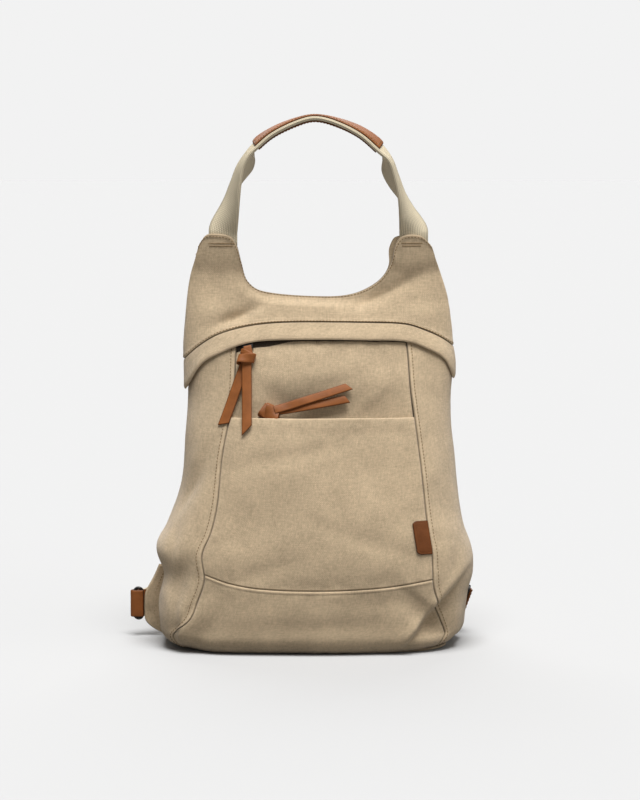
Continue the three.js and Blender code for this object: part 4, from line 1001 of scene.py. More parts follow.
def arch_top(s, angle_at, line="seam"):
    """Height of the flap's seam or hem over a panel."""
    return meet_arch(line, lambda height: angle_at(s, height), np.shape(s))


def flush(place, height):
    """Depth of a panel that lies on the outer surface, at any place and height."""
    return np.zeros(np.broadcast_shapes(np.shape(place), np.shape(height)))


def edge_line(grid, normal, side, skip=STITCH_ROW, row=STITCH_ROW):
    """Stitch line along one edge of a panel: its points and the way the cloth faces there."""
    last = slice(skip, -skip)
    at = {
        "left": (last, row), "right": (last, -1 - row), "low": (row, last), "high": (-1 - row, last),
    }[side]
    return thread_line(grid[at], normal[at])


def side_grids(side):
    """Grids of a side panel."""
    def angle_at(s, height):
        return side_angle(side, s, height)

    s, t = grid_of(95, 285, cloth_step())
    top = height_run(arch_top(s, angle_at) - CLEARANCE / 2)
    return wall_grid(s, t * top, angle_at, under_flap)


def front_grids(low, high, depth_at, length):
    """Grids of a front panel between a low and a high line."""
    s, t = grid_of(195, length, cloth_step())
    runs = mix(height_run(low(s)), height_run(high(s)), t)
    height = run_height(runs)
    x = front_across(s, height)
    angle = front_angle(x, height)
    depth = depth_at(s, height)
    return body_point(angle, runs, depth), body_point(angle, runs, depth + CANVAS)


def foot_below(s):
    """Top edge of the panel below the seam under the pocket."""
    return pocket_foot(s) - CLEARANCE / 2


def foot_above(s):
    """Low edge of the panels above the seam under the pocket."""
    return pocket_foot(s) + CLEARANCE / 2


def zip_line(s, shift):
    """Height of the front zip, or of a line beside it."""
    return front_arch(s, "hem", shift)


def back_grids():
    """Grids of the back panel."""
    s, t = grid_of(245, 270, cloth_step() * 1.3)
    top = height_run(arch_top(s, back_angle) - BACK_ZIP_WIDTH)
    return wall_grid(s, t * top, back_angle, flush)


def flap_angle(c, height):
    """Angle at a column of the flap: a quarter over each side, the rest over the front."""
    across = front_across(np.clip((c - 0.25) * 2, 0, 1), height)
    angle = front_angle(across, height)
    angle = np.where(c < 0.25, side_angle(-1, np.clip(1 - c * 4, 0, 1), height), angle)
    return np.where(c > 0.75, side_angle(1, np.clip(c * 4 - 3, 0, 1), height), angle)


def flap_grids():
    """Grids of the flap, from one side over the front to the other."""
    c, t = grid_of(385, 17, cloth_step())
    low, high = arch_top(c, flap_angle, "hem"), arch_top(c, flap_angle) - CLEARANCE / 2
    height = mix(low, high, t)
    angle = flap_angle(c, height)
    depth = -FLAP_STAND * (1 - t)
    runs = height_run(height)
    return body_point(angle, runs, depth), body_point(angle, runs, depth + FLAP_THICKNESS)


EAR_HALF = WEBBING_THICKNESS + FOLD_GAP / 2 + CLEARANCE

# Double stitch rows of the ears: first and last place across, millimetres below the ears
EAR_BARS = (
    (-0.688, -0.535, 8.8), (-0.683, -0.54, 11.2), (0.54, 0.668, 8.6), (0.545, 0.66, 11.0),
)


def yoke_point(s, t, face, away):
    """Point of the yoke's front (away -1) or back (away 1), its two sheets meeting at the neckline."""
    base = across_at(mix(-math.pi / 2, math.pi / 2, s), ARCH_LINES[4, 1] * BODY_HEIGHT)
    top = read_table(NECKLINE, s)
    left, right, *_ = section_at(top[..., 2] * BODY_HEIGHT)
    tip = np.clip(top[..., 1] * HALF_WIDTH / np.where(top[..., 1] < 0, left, right), -1, 1)
    tip = mix(base, tip, ease(np.minimum(s, 1 - s), -0.004, 0.03))
    height = mix(arch_at(base, "seam") + CLEARANCE / 2, top[..., 2] * BODY_HEIGHT, t)
    u = np.clip(mix(base, tip, t), -1, 1)
    _, _, _, _, middle, power = section_at(height)
    angle = np.arctan2(u, (1 - np.abs(u) ** power) ** (1 / power))
    turned = angle if away < 0 else math.pi - angle
    point = body_point(turned, height_run(height), face * CANVAS)
    out = np.maximum(away * (point[..., 1] - middle), CLEARANCE / 2)
    in_ear = ease(np.abs(point[..., 0]) / HALF_WIDTH, 0.46, 0.51)
    high = ease(height / BODY_HEIGHT, 0.9, 0.95)
    closing = ease(t, 0.55, 1) * (1 - in_ear * ease(height / BODY_HEIGHT, 0.9, 0.94))
    closed = mix(out, 0.2 + (1 - face) * CANVAS, closing)
    point[..., 1] = middle + away * mix(closed, EAR_HALF + (1 - face) * CANVAS, in_ear * high)
    if away > 0:
        peek = ease(s, 0.76, 0.84) * (1 - ease(s, 0.88, 0.92)) * ease(t, 0.5, 1)
        point[..., 0] -= 4.6 * peek
    return point


def near_points(grid, normal, places):
    """Points of a grid near places given across and up, with the way it faces there."""
    flat, facing = grid.reshape(-1, 3), normal.reshape(-1, 3)
    found = []
    for x, z in places:
        gap = (flat[:, 0] - x) ** 2 + (flat[:, 2] - z) ** 2
        best = np.argpartition(gap, 5)[:5]
        weight = 1 / (gap[best] + 0.05)
        y = np.sum(flat[best, 1] * weight) / weight.sum()
        found.append(((x, y, z), facing[best[np.argmin(gap[best])]]))
    points, normals = (np.array([f[k] for f in found]) for k in (0, 1))
    return thread_line(points, normals)


def canvas_panel(piece, node, grids, upright=False):
    """Canvas panel from its sewn grids and their masks of painted shade and of wear and painted highlight."""
    part = sheet_part(*grids, upright=upright)
    return build(f"{piece}_cloth", [part], finish_of("Canvas"), [node])


def add_yoke():
    s, t = grid_of(330, 96, cloth_step())
    lines = []
    edges = ("sunk", "sunk", "stitched", "stitched")
    for away, name in ((-1, "yoke_front"), (1, "yoke_back")):
        outer, inner = yoke_point(s, t, 0, away), yoke_point(s, t, 1, away)
        *grids, normal = sewn(outer, inner, 11 + away, edges, rumple() * 0.8)
        canvas_panel(name, name, grids, upright=True)
        grid = grids[0]
        lines.append((name, [edge_line(grid, normal, "high", 8), edge_line(grid, normal, "low", 3, 5)]))
        if away < 0:
            bars = [
                near_points(
                    grid, normal, [(x * HALF_WIDTH, BODY_HEIGHT - down) for x in np.linspace(first, last, 12)]
                ) for first, last, down in EAR_BARS
            ]
    for name, rows in lines:
        stitched(f"{name}_stitches", rows, [name])
    stitch = bpy.context.scene.backpack.thread.stitch
    repeated("yoke_bar_stitches", bars, stitch * 0.45, (stitch * 0.4, stitch * 0.6, stitch * 0.32),
             finish_of("Thread"), ["yoke_front"])


def add_flap():
    outer, inner = flap_grids()
    edges = ("sunk", "sunk", "hem", "sunk")
    grid, under, groove, wear, normal = sewn(outer, inner, 23, edges, rumple() * 0.5)
    low = edge_gaps(outer)[2]
    grid = grid - normal * (1.1 * bell(low, 0, 2.2))[..., None]
    under = under - normal * (0.6 * bell(low, 2.2, 2.0))[..., None]
    canvas_panel("flap", "front_flap", (grid, under, groove, wear))


def add_front():
    outer, inner = front_grids(foot_above, lambda s: np.full(np.shape(s), POCKET_TOP), flush, 143)
    *grids, _ = sewn(outer, inner, 31, ("sunk", "sunk", "sunk", "fold"), rumple() * 1.15)
    canvas_panel("pocket", "front_pocket", grids)

    outer, inner = front_grids(lambda s: 0 * s, foot_below, flush, 66)
    *grids, _ = sewn(outer, inner, 37, ("sunk", "sunk", "hidden", "piped"), rumple() * 1.1)
    canvas_panel("lower", "front_lower", grids)

    def under_zip(s):
        return zip_line(s, 0) - (ZIP_DROP + CLEARANCE) * (1 - ease(s, 0.16, 0.34))

    outer, inner = front_grids(foot_above, under_zip, front_depth, 208)
    edges = ("sunk", "sunk", "hidden", "sunk")
    grid, under, groove, wear, _ = sewn(outer, inner, 41, edges, rumple() * 0.9)
    top = edge_gaps(outer)[3]
    gathers = noise(outer * np.array([1, 0.2, 0.2]), 7.5, 43) * 0.45 * bell(top, 0, 9)
    grid = grid + grid_normal(grid) * gathers[..., None]
    canvas_panel("upper", "front_upper", (grid, under, groove, wear))


def add_sides():
    edges = ("stitched", "stitched", "sunk", "hidden")
    for side, name in ((-1, "side_left"), (1, "side_right")):
        *grids, normal = sewn(*side_grids(side), 51 + side, edges, rumple() * 1.25)
        canvas_panel(name, name, grids)
        rows = [edge_line(grids[0], normal, edge) for edge in ("left", "right")]
        stitched(f"{name}_stitches", rows, [name])


def add_back():
    *grids, normal = sewn(*back_grids(), 61, ("sunk", "sunk", "sunk", "stitched"), rumple())
    canvas_panel("back", "back_panel", grids)
    stitched("back_stitches", [edge_line(grids[0], normal, "high", 4)], ["back_panel"])


def rim_points():
    """Rim of the base, all the way round."""
    shares = np.linspace(0, 1, 60)
    angles = np.concatenate([
        front_angle(front_across(shares, 0 * shares), 0 * shares),
        side_angle(1, shares, 0 * shares),
        back_angle(shares, 0 * shares),
        2 * math.pi + side_angle(-1, 1 - shares, 0 * shares),
    ])
    return hull_point(angles, np.full(len(angles), -BASE_GAP))


def add_base():
    rim = rim_points()
    after = np.roll(rim, -1, axis=0)
    low, high = rim[:, 0].min(), rim[:, 0].max()
    columns = low + (high - low) * (0.5 - 0.5 * np.cos(np.linspace(0.12, math.pi - 0.12, 60)))
    ends = []
    for x in columns:
        hit = (rim[:, 0] <= x) != (after[:, 0] <= x)
        y = mix(rim[hit, 1], after[hit, 1], (x - rim[hit, 0]) / (after[hit, 0] - rim[hit, 0]))
        ends.append((y.min(), y.max()))
    ends = np.array(ends)
    t = spaced(78, 3)[:, None]
    y = mix(ends[None, :, 0], ends[None, :, 1], t)
    x = np.broadcast_to(columns, y.shape)
    outer = settle(np.stack([x, y, np.zeros(y.shape)], -1))
    inner = settle(np.stack([x, y, np.full(y.shape, CANVAS)], -1))
    canvas_panel("base", "base_panel", (outer, inner))


# Zips
def strip_grids(count, rows, place_at, depth, thick):
    """Zip strip along an edge: place_at gives angle and height at the shares along and across it."""
    s, t = np.meshgrid(np.linspace(0, 1, count), np.linspace(0, 1, rows))
    angle, height = place_at(s, t)
    runs = height_run(height)
    return body_point(angle, runs, depth), body_point(angle, runs, depth + thick)


def teeth(name, node, grids, width, thick, last=None, lift=0.1):
    """Row of zip teeth along the middle of a strip."""
    zips = bpy.context.scene.backpack.zips
    row = len(grids[0]) // 2
    line = thread_line(grids[0][row, :last], facing_of(*grids)[row, :last], lift)
    size = (zips.tooth, width * MM, thick * MM)
    repeated(name, [line], zips.pitch, size, finish_of("Zip coil"), [node])


def add_zips():
    tape, coil = finish_of("Zip tape"), finish_of("Zip coil")

    def front_place(low, high):
        def place(s, t):
            height = mix(low(s), high(s), t)
            return front_angle(front_across(s, height), height), height
        return place

    def coil_foot(s):
        return zip_line(s, -ZIP_DROP)

    tape_place = front_place(coil_foot, lambda s: front_arch(s, "seam", -CLEARANCE / 2))
    grids = strip_grids(90, 10, tape_place, 2.9, ZIP_TAPE)
    build("front_zip_cloth", [sheet_part(*grids)], tape, ["front_zip_tape"])
    coil_place = front_place(coil_foot, lambda s: zip_line(s, COIL_WIDTH - ZIP_DROP))
    grids = strip_grids(90, 7, coil_place, 1.5, 1.1)
    build("front_zip_cord", [sheet_part(*grids)], coil, ["front_zip_coil"])
    teeth("front_zip_teeth", "front_zip_coil", grids, COIL_WIDTH - 1, 1.2)

    def back_place(margin):
        def place(s, t):
            height = arch_top(s, back_angle) - mix(BACK_ZIP_WIDTH - margin, margin, t)
            return back_angle(s, height), height
        return place

    grids = strip_grids(110, 12, back_place(CLEARANCE), 0.8, ZIP_TAPE)
    build("back_zip_cloth", [sheet_part(*grids)], tape, ["back_zip_tape"])
    grids = strip_grids(110, 7, back_place((BACK_ZIP_WIDTH - COIL_WIDTH) / 2), -0.5, 1.0)
    build("back_zip_cord", [sheet_part(*grids)], coil, ["back_zip_coil"])
    teeth("back_zip_teeth", "back_zip_coil", grids, COIL_WIDTH - 1, 1.2)

    s, t = np.meshgrid(np.linspace(0.2, 0.8, 60), np.linspace(0, 1, 8))
    height = POCKET_TOP - POCKET_ZIP_DROP - POCKET_ZIP_WIDTH * (1 - t)
    depth = front_depth(s, height) - CLEARANCE - ZIP_TAPE
    angle, runs = front_angle(front_across(s, height), height), height_run(height)
    grids = body_point(angle, runs, depth), body_point(angle, runs, depth + ZIP_TAPE)
    build("pocket_zip_cloth", [sheet_part(*grids)], tape, ["pocket_zip_tape"])
    teeth("pocket_zip_teeth", "pocket_zip_tape", grids, 3.2, 0.6, last=-1, lift=0.0)


# Sliders and pullers, measured from the boxes and axes of their solids
SLIDER_LENGTH = 10.0
SLIDER_WIDTH = 6.4
SLIDER_THICK = 1.8
BAIL_RISE = 1.6
BAIL_WIRE = 0.6
BAIL_CENTRE = SLIDER_THICK + BAIL_RISE + BAIL_WIRE
BAIL_DROP = SLIDER_WIDTH / 2 - BAIL_WIRE
BACK_SLIDER_TURN = 38
LOOP_WIDTH = 7.0
LOOP_THICK = 0.96
THONG = 8.6
THONG_LENGTH = 69.0
THONG_THICK = 1.3


def front_point(x, z, depth):
    """Point of the front at a place across, a height and a depth."""
    x, z = np.broadcast_arrays(np.asarray(x, float), np.asarray(z, float))
    return body_point(front_angle(x, z), height_run(z), depth)


def front_frame(x, z, depth_at):
    """Axes on the front: across, inwards and up."""
    def at(dx, dz):
        return front_point(x + dx, z + dz, depth_at(x + dx, z + dz))

    across = unit(at(2, 0) - at(-2, 0))
    inwards = unit(np.cross(at(0, 2) - at(0, -2), across))
    return axes_matrix(across, inwards, np.cross(across, inwards), at(0, 0))


def axes_matrix(x, y, z, origin):
    """Matrix from three axes and an origin."""
    matrix = np.eye(4)
    matrix[:3, 0], matrix[:3, 1], matrix[:3, 2], matrix[:3, 3] = x, y, z, origin
    return matrix


def shifted(x, y, z):
    """Matrix that only moves."""
    return axes_matrix((1, 0, 0), (0, 1, 0), (0, 0, 1), (x, y, z))


def turn(axis, degrees):
    """Matrix that turns about one axis."""
    return np.array(Matrix.Rotation(math.radians(degrees), 4, axis))


def share_across(x, height):
    """Share between the front's two seams at a place across."""
    first, last = front_across(0.0, height), front_across(1.0, height)
    return (x - first) / (last - first)


def circle(radius, count):
    """Round section."""
    angle = np.linspace(0, 2 * math.pi, count, endpoint=False)
    return np.stack([np.cos(angle), np.sin(angle)], -1) * radius


def squared(value, power):
    """Sine or cosine raised so that a circle turns into a rounded square."""
    return np.sign(value) * np.abs(value) ** power


def soft_block(size, power=5.0, rings=12, around=28):
    """Block with rounded edges and corners, centred on the origin."""
    rise = np.linspace(-math.pi / 2, math.pi / 2, rings + 1)[1:-1]
    v, u = np.meshgrid(rise, np.linspace(0, 2 * math.pi, around, endpoint=False), indexing="ij")
    cos_v, sin_v, cos_u, sin_u = (squared(f(a), 2 / power) for a in (v, u) for f in (np.cos, np.sin))
    points = np.stack([cos_v * cos_u, cos_v * sin_u, sin_v], -1) * np.array(size) / 2
    rows = len(points)
    at = np.arange(rows * around).reshape(rows, around)
    after = np.roll(at, -1, axis=1)
    faces = [tuple(f) for f in np.stack([at[:-1], after[:-1], after[1:], at[1:]], -1).reshape(-1, 4)]
    poles = rows * around, rows * around + 1
    for k in range(around):
        faces.append((poles[0], after[0, k], at[0, k]))
        faces.append((poles[1], at[-1, k], after[-1, k]))
    points = np.concatenate([points.reshape(-1, 3), [(0, 0, -size[2] / 2), (0, 0, size[2] / 2)]])
    flat = np.stack([points[:, 0] + points[:, 1], points[:, 2]], -1) * MM
    none = np.zeros(len(points))
    return points, faces, flat, none, none


def slider_parts():
    """Slider along X with its back at Y = 0: a nosed plate and a wire bail."""
    plate = soft_block((SLIDER_LENGTH, SLIDER_THICK, SLIDER_WIDTH), 4.5)
    from_middle = np.abs(plate[0][:, :1]) / (SLIDER_LENGTH / 2)
    plate = (plate[0] * (1 - 0.1 * from_middle * [0, 0, 1]), *plate[1:])
    plate = place_part(plate, shifted(0, -SLIDER_THICK / 2, 0))
    rise = np.linspace(0, math.pi, 17)
    half = SLIDER_LENGTH / 2 - BAIL_WIRE
    x = -squared(np.cos(rise), 0.45) * half
    y = -BAIL_WIRE - squared(np.sin(rise), 0.45) * (BAIL_CENTRE - BAIL_WIRE)
    path = np.stack([x, y, np.full(x.shape, -BAIL_DROP)], -1)
    tangent = unit(np.gradient(path, axis=0))
    up = np.tile([0.0, 0.0, 1.0], (len(path), 1))
    bail = sweep_part(path, np.cross(tangent, up), up, circle(BAIL_WIRE, 10))
    return [plate, bail]


def strip_section(width, thick, edge=0.35):
    """Rounded section of a leather strip, width by thickness."""
    w, t = width / 2, thick / 2
    half = [(-w, 0), (-w + edge * 0.3, t * 0.7), (-w + edge, t)]
    half += [(x, t) for x in np.linspace(-w + edge, w - edge, 6)[1:-1]]
    half += [(w - edge, t), (w - edge * 0.3, t * 0.7), (w, 0)]
    lower = [(x, -y) for x, y in half[-2:0:-1]]
    return np.array(half + lower)


def loop_part(length):
    """Thong bent through the bail and hanging below it along -Z."""
    deep = BAIL_WIRE + CLEARANCE
    radius = deep + 0.5
    top = np.linspace(0, math.pi, 13)
    path = [(math.cos(a) * radius, math.sin(a) * radius) for a in top]
    path += [(math.cos(a) * radius, math.sin(a) * radius + 2 * deep - length) for a in top + math.pi]
    path = np.array(path)
    turns = np.concatenate([top, top + math.pi])
    origins = np.stack([0 * turns, path[:, 0], path[:, 1]], -1)
    outwards = np.stack([0 * turns, np.cos(turns), np.sin(turns)], -1)
    across = np.tile([1.0, 0.0, 0.0], (len(turns), 1))
    section = strip_section(LOOP_WIDTH, LOOP_THICK)
    part = sweep_part(origins, across, outwards, section, closed=True)
    return place_part(part, shifted(0, -BAIL_CENTRE, -BAIL_DROP))


def band_part(size, width, thick, tilt, shift):
    """Closed band wrapped round a block of the given size, about an axis tilted from Z."""
    angle = np.linspace(0, 2 * math.pi, 48, endpoint=False)
    x, y = squared(np.cos(angle), 0.55) * size[0] / 2, squared(np.sin(angle), 0.55) * size[1] / 2
    path = np.stack([x, y, np.full(48, shift)], -1)
    path[:, 2] += path[:, 0] * math.tan(math.radians(tilt)) + 0.35 * np.sin(angle * 2)
    tangent = unit(np.roll(path, -1, 0) - np.roll(path, 1, 0))
    out = unit(path * np.array([1, 1, 0]) + 1e-9)
    across = unit(np.cross(tangent, out))
    out = np.cross(across, tangent)
    return sweep_part(path, across, out, strip_section(width, thick, 0.5), closed=True)


def knot_parts(x, z, depth, tilt, long=1.0):
    """Wrapped knot of a thong: a core and two bands over it."""
    frame_at = front_frame(x, z, lambda *_: depth) @ turn("Y", tilt)
    parts = [
        soft_block((12.2, 5.6, 11.4 * long), 3.2),
        band_part((12.4, 5.8), 4.6 * long, 1.1, -6, 3.6 * long),
        band_part((14.0, 6.8), 8.4 * long, 1.2, 17, -1.2 * long),
    ]
    return [place_part(part, frame_at) for part in parts]


def tail_part(knot, drop, start, end, heading, long, wide, slant):
    """Flat thong lying on the front from the knot outwards, with a slanting end."""
    dx, dz = math.cos(math.radians(heading)), math.sin(math.radians(heading))
    width, length = wide * THONG, long * THONG_LENGTH
    columns = np.array([0, 0.03, 0.08, 0.16, 0.3, 0.5, 0.7, 0.84, 0.92, 0.97, 1.0])
    s, t = np.meshgrid(columns, spaced(length, 2.0))
    side = (s - 0.5) * width
    along = t * (length + slant * width * (s - 0.5))
    x, z = knot[0] + dx * along - dz * side, knot[1] - drop + dz * along + dx * side
    depth = mix(start, end, t) * THONG_THICK + 0.35 * np.sin(t * 7 + heading) * ease(t, 0, 0.4)
    cup = 0.28 * (2 * s - 1) ** 2
    to_side, to_end = np.minimum(s, 1 - s) * width, (1 - t) * length
    edge = 0.38 * bell(to_side, 0, 0.35)
    outer = front_point(x, z, depth + cup + edge + 0.3 * bell(to_end, 0, 0.4))
    inner = front_point(x, z, depth + THONG_THICK + cup - edge)
    gap = np.minimum(to_side, to_end)
    return sheet_part(outer, inner, bell(gap, 0, 0.45), bell(gap, 1.3, 0.8) * 0.6)


def front_slider_frame():
    """Place of the front zip's slider."""
    x = -0.433 * HALF_WIDTH

    def coil(at):
        return float(front_arch(share_across(at, 0.74 * BODY_HEIGHT), "hem", COIL_WIDTH / 2 - ZIP_DROP))

    z = coil(x) - 0.6
    slope = math.degrees(math.atan2(coil(x + COIL_WIDTH) - coil(x - COIL_WIDTH), 2 * COIL_WIDTH))
    return x, z, front_frame(x, z, lambda *_: STACK_GAP - CLEARANCE) @ turn("Y", -slope)


def pocket_slider_frame():
    """Place of the pocket zip's slider."""
    x, z = -0.284 * HALF_WIDTH, POCKET_TOP - POCKET_ZIP_DROP - POCKET_ZIP_WIDTH / 2

    def depth(a, b):
        return front_depth(np.clip(share_across(a, b), 0, 1), np.asarray(b, float)) - CLEARANCE * 2 - ZIP_TAPE

    return x, z, front_frame(x, z, depth) @ turn("Y", 180)


def back_slider_frame():
    """Place of the back zip's slider."""
    angle = math.pi + math.radians(BACK_SLIDER_TURN)
    height = float(meet_arch("seam", lambda h: angle, ())) - BACK_ZIP_WIDTH / 2
    run = float(height_run(height))

    def at(turned, rise):
        return body_point(angle + turned, run + rise, -1.1 - CLEARANCE)

    across = unit(at(0.02, 0) - at(-0.02, 0))
    inwards = unit(np.cross(at(0, 1) - at(0, -1), across))
    return axes_matrix(across, inwards, np.cross(across, inwards), at(0, 0))


def add_sliders():
    metal = finish_of("Gunmetal")
    for name, place in (
        ("front_zip_slider", front_slider_frame()[2]),
        ("pocket_zip_slider", pocket_slider_frame()[2]),
        ("back_zip_slider", back_slider_frame()),
    ):
        parts = [place_part(part, place) for part in slider_parts()]
        build(f"{name}_metal", parts, metal, [name])


def add_pullers():
    hide = finish_of("Leather")
    x, z, place = front_slider_frame()
    knot = (x - CLEARANCE, z - 11.0)
    parts = [place_part(loop_part(7.0), place), *knot_parts(*knot, -4.2, 14)]
    parts.append(tail_part(knot, 0, -3.8, -3.1, -90, 0.9, 1, -1.05))
    parts.append(tail_part(knot, 0, -1.7, -1.5, -110.5, 0.88, 1, -0.6))
    build("front_puller_leather", parts, hide, ["front_zip_puller"])

    x, z, place = pocket_slider_frame()
    knot = (x + 2.4, POCKET_TOP + 7.5)
    parts = [place_part(loop_part(13.0), place), *knot_parts(knot[0] - 4.0, knot[1] - 2.0, 5.4, -68, 1.5)]
    parts.append(tail_part(knot, 0, 0.45, 0.15, 17, 1, 0.82, -0.7))
    parts.append(tail_part(knot, 1, 2.3, 2.3, 9.5, 0.95, 0.82, -0.55))
    build("pocket_puller_leather", parts, hide, ["pocket_zip_puller"])

    place = back_slider_frame()
    tag = soft_block((LOOP_WIDTH, LEATHER, 22), 9.0)
    tag = place_part(tag, shifted(0, -BAIL_CENTRE, -BAIL_DROP - 17))
    parts = [place_part(part, place) for part in (loop_part(7.0), tag)]
    build("back_puller_leather", parts, hide, ["back_zip_puller"])


def add_label():
    columns = np.array([0, 0.025, 0.06, 0.12, 0.2, 0.3, 0.45, 0.6, 0.75, 0.9, 1.0])
    s, t = np.meshgrid(columns, spaced(LABEL_HEIGHT, 1.2))
    corner = LABEL_CORNER * (1 - np.minimum(s / 0.3, 1)) ** 2
    height = LABEL_MIDDLE + (t - 0.5) * (LABEL_HEIGHT - 2 * corner)
    x = front_across(np.ones(s.shape), height) - LABEL_WIDTH * (1 - s)
    gap = np.minimum(np.minimum(t, 1 - t) * LABEL_HEIGHT, s * LABEL_WIDTH)
    lift = -0.5 * bell(gap, 0, 0.4) - 0.25 * bell(gap, 1.6, 0.35)
    curl = 0.7 * np.exp(-s * LABEL_WIDTH / 4) + 0.25 * noise(np.stack([x, 0 * x, height], -1), 9.0, 71)
    outer = front_point(x, height, -CLEARANCE - 1.2 - lift - curl)
    inner = front_point(x, height, -CLEARANCE - curl)
    part = sheet_part(outer, inner, bell(gap, 0, 0.5), bell(gap, 0.9, 0.5) * 0.6)
    build("label_leather", [part], finish_of("Label leather"), ["label"])


# Handle
EAR_MIDDLE = 0.5 * HALF_DEPTH


def handle_place(share):
    """Middle of the handle's webbing at a share of its path."""
    row = read_table(HANDLE_SECTIONS, share)
    return np.array([row[1] * HANDLE_REACH, 0, BODY_HEIGHT + row[2] * HANDLE_RISE])


def handle_frame(share):
    """Fold line, way out and layer angles of the handle's webbing."""
    row = read_table(HANDLE_SECTIONS, share)
    along = unit(handle_place(share + 0.01) - handle_place(share - 0.01))
    outwards = np.array([-along[2], 0, along[0]])
    outer, inner = math.radians(max(row[3], row[4])), math.radians(row[4])
    middle = (outer + inner) / 2
    fold = handle_place(share)
    fold[1] = EAR_MIDDLE - WEBBING_WIDTH / 2 * math.cos(middle)
    return fold, outwards, outer, inner, middle


def folded_line(share, start, width, half, offset, flip, steps=9, bend_steps=9):
    """Line across two layers that leave a round fold, at an offset from their middle."""
    fold, outwards, outer, inner, middle = handle_frame(share)

    def direction(angle):
        return np.array([0, math.cos(angle), 0]) + outwards * math.sin(angle)

    legs = []
    for angle, sign in ((outer, 1), (inner, -1)):
        root = fold + direction(middle + math.pi / 2) * sign * half
        side = direction(angle + math.pi / 2) * sign * offset
        legs.append([root + direction(angle) * reach + side for reach in np.linspace(start, width, steps)])
    centre = fold + direction(middle) * (width if flip else start)
    turns = np.radians(np.linspace(0, 180, bend_steps + 2)[1:-1])
    angles = [math.pi / 2 - a if flip else math.pi / 2 + a for a in turns]
    bend = [centre + direction(middle + a) * (half + offset) for a in angles]
    if flip:
        return legs[0] + bend + legs[1][::-1]
    return legs[0][::-1] + bend + legs[1]


def add_handle():
    layer = (WEBBING_THICKNESS + FOLD_GAP) / 2
    shares = np.linspace(0, 1, 120)
    outer, inner = (
        np.array([folded_line(s, 0, WEBBING_WIDTH, layer, offset, False) for s in shares])
        for offset in (0.8, -0.8)
    )
    tucks = [HANDLE_TUCK, HANDLE_TUCK * 0.66, HANDLE_TUCK * 0.33]
    grids = []
    for grid in (outer, inner):
        rows = [grid[0].copy() for _ in tucks] + list(grid) + [grid[-1].copy() for _ in tucks]
        for k, down in enumerate(tucks):
            rows[k][:, 2] = rows[-1 - k][:, 2] = BODY_HEIGHT - down
        grids.append(np.array(rows))
    outer, inner = grids
    side = edge_gaps(outer)
    edge = np.minimum(side[0], side[1])
    facing = facing_of(outer, inner)
    selvedge = 0.25 * bell(edge, 1.2, 1.0) - 0.3 * bell(edge, 0, 0.5)
    outer = outer + facing * selvedge[..., None]
    # Painted shade along the handle webbing's edges
    build("handle_webbing_cloth", [sheet_part(outer, inner, 0.5 * bell(edge, 0, 0.7))],
          finish_of("Webbing"), ["handle_webbing"])

    half = WEBBING_THICKNESS + FOLD_GAP / 2 + CLEARANCE + LEATHER / 2
    shares = np.linspace(GRIP_START, GRIP_END, 80)
    outer, inner = (
        np.array([
            folded_line(s, FOLD_GAP, WEBBING_WIDTH + CLEARANCE, half, offset, True, 16, 11) for s in shares
        ]) for offset in (LEATHER / 2, -LEATHER / 2)
    )
    facing = facing_of(outer, inner)
    left, right, low, high = edge_gaps(outer)
    edge = np.minimum.reduce([left, right, low, high])
    lift = noise(outer, 24.0, 83) * 0.4 * ease(edge, 1, 6) - 0.5 * bell(edge, 0, 0.45)
    outer = outer + facing * lift[..., None]
    wear = bell(edge, 1.2, 0.9) * 0.7
    build("handle_grip_leather", [sheet_part(outer, inner, 0.8 * bell(edge, 0, 0.6), wear)],
          finish_of("Leather"), ["handle_grip"])
    column = 2
    rows = [thread_line(outer[2:-2, c], facing[2:-2, c]) for c in (column, -1 - column)]
    rows += [thread_line(outer[r, 2:13], facing[r, 2:13]) for r in (2, -3)]
    stitched("handle_grip_stitches", rows, ["handle_grip"])


# Lower fittings
TAB_LEFT = np.array([
    (0.006, -1.0), (0.018, -1.06), (0.034, -1.108), (0.05, -1.122), (0.105, -1.118),
    (0.122, -1.1), (0.152, -1.058), (0.18, -1.026),
])
TAB_RIGHT = np.array([
    (0.022, 0.91), (0.045, 0.935), (0.075, 0.953), (0.1, 0.96), (0.125, 0.962), (0.15, 0.957),
])
TAB_THICK = 3.0
TAB_WIDTH = 18.0
RING = {"wire": 2.6, "height": 31.0, "width": 10.0, "centre": 30.0}
END_THICK = 1.8
END_HEIGHT = RING["height"] - 2 * RING["wire"] - 2 * CLEARANCE - 0.6
END_STITCH = 2.5
END_HALF = TAB_THICK / 2 + CLEARANCE + END_THICK / 2
STRAP_WIDTH = 25.0
STRAP_THICK = 2.2

# Place of each fitting: table of its tab, depth, gap to the side, turn, lean, reach of the two legs
# of its leather end, where its strap starts and on which face
FITTINGS = {
    "left": (TAB_LEFT, 0.586 * HALF_DEPTH, 1.3, 180, 0, (-14.25, 0.3), 5.0, -1),
    "right": (TAB_RIGHT, 0.69 * HALF_DEPTH, 0.5, 90, 20, (0.3, 0.3), 0.3, 1),
}


def side_of_body(sign, y, z):
    """Place across of the body's side at a depth and heights."""
    run = height_run(z)
    for _ in range(5):
        near, far = np.full(z.shape, math.pi / 2), np.full(z.shape, math.pi - 0.2)
        for _ in range(20):
            angle = (near + far) / 2
            point = body_point(sign * angle, run, 0)
            short = point[..., 1] < y
            near, far = np.where(short, angle, near), np.where(short, far, angle)
        run = run + z - point[..., 2]
    return point[..., 0]


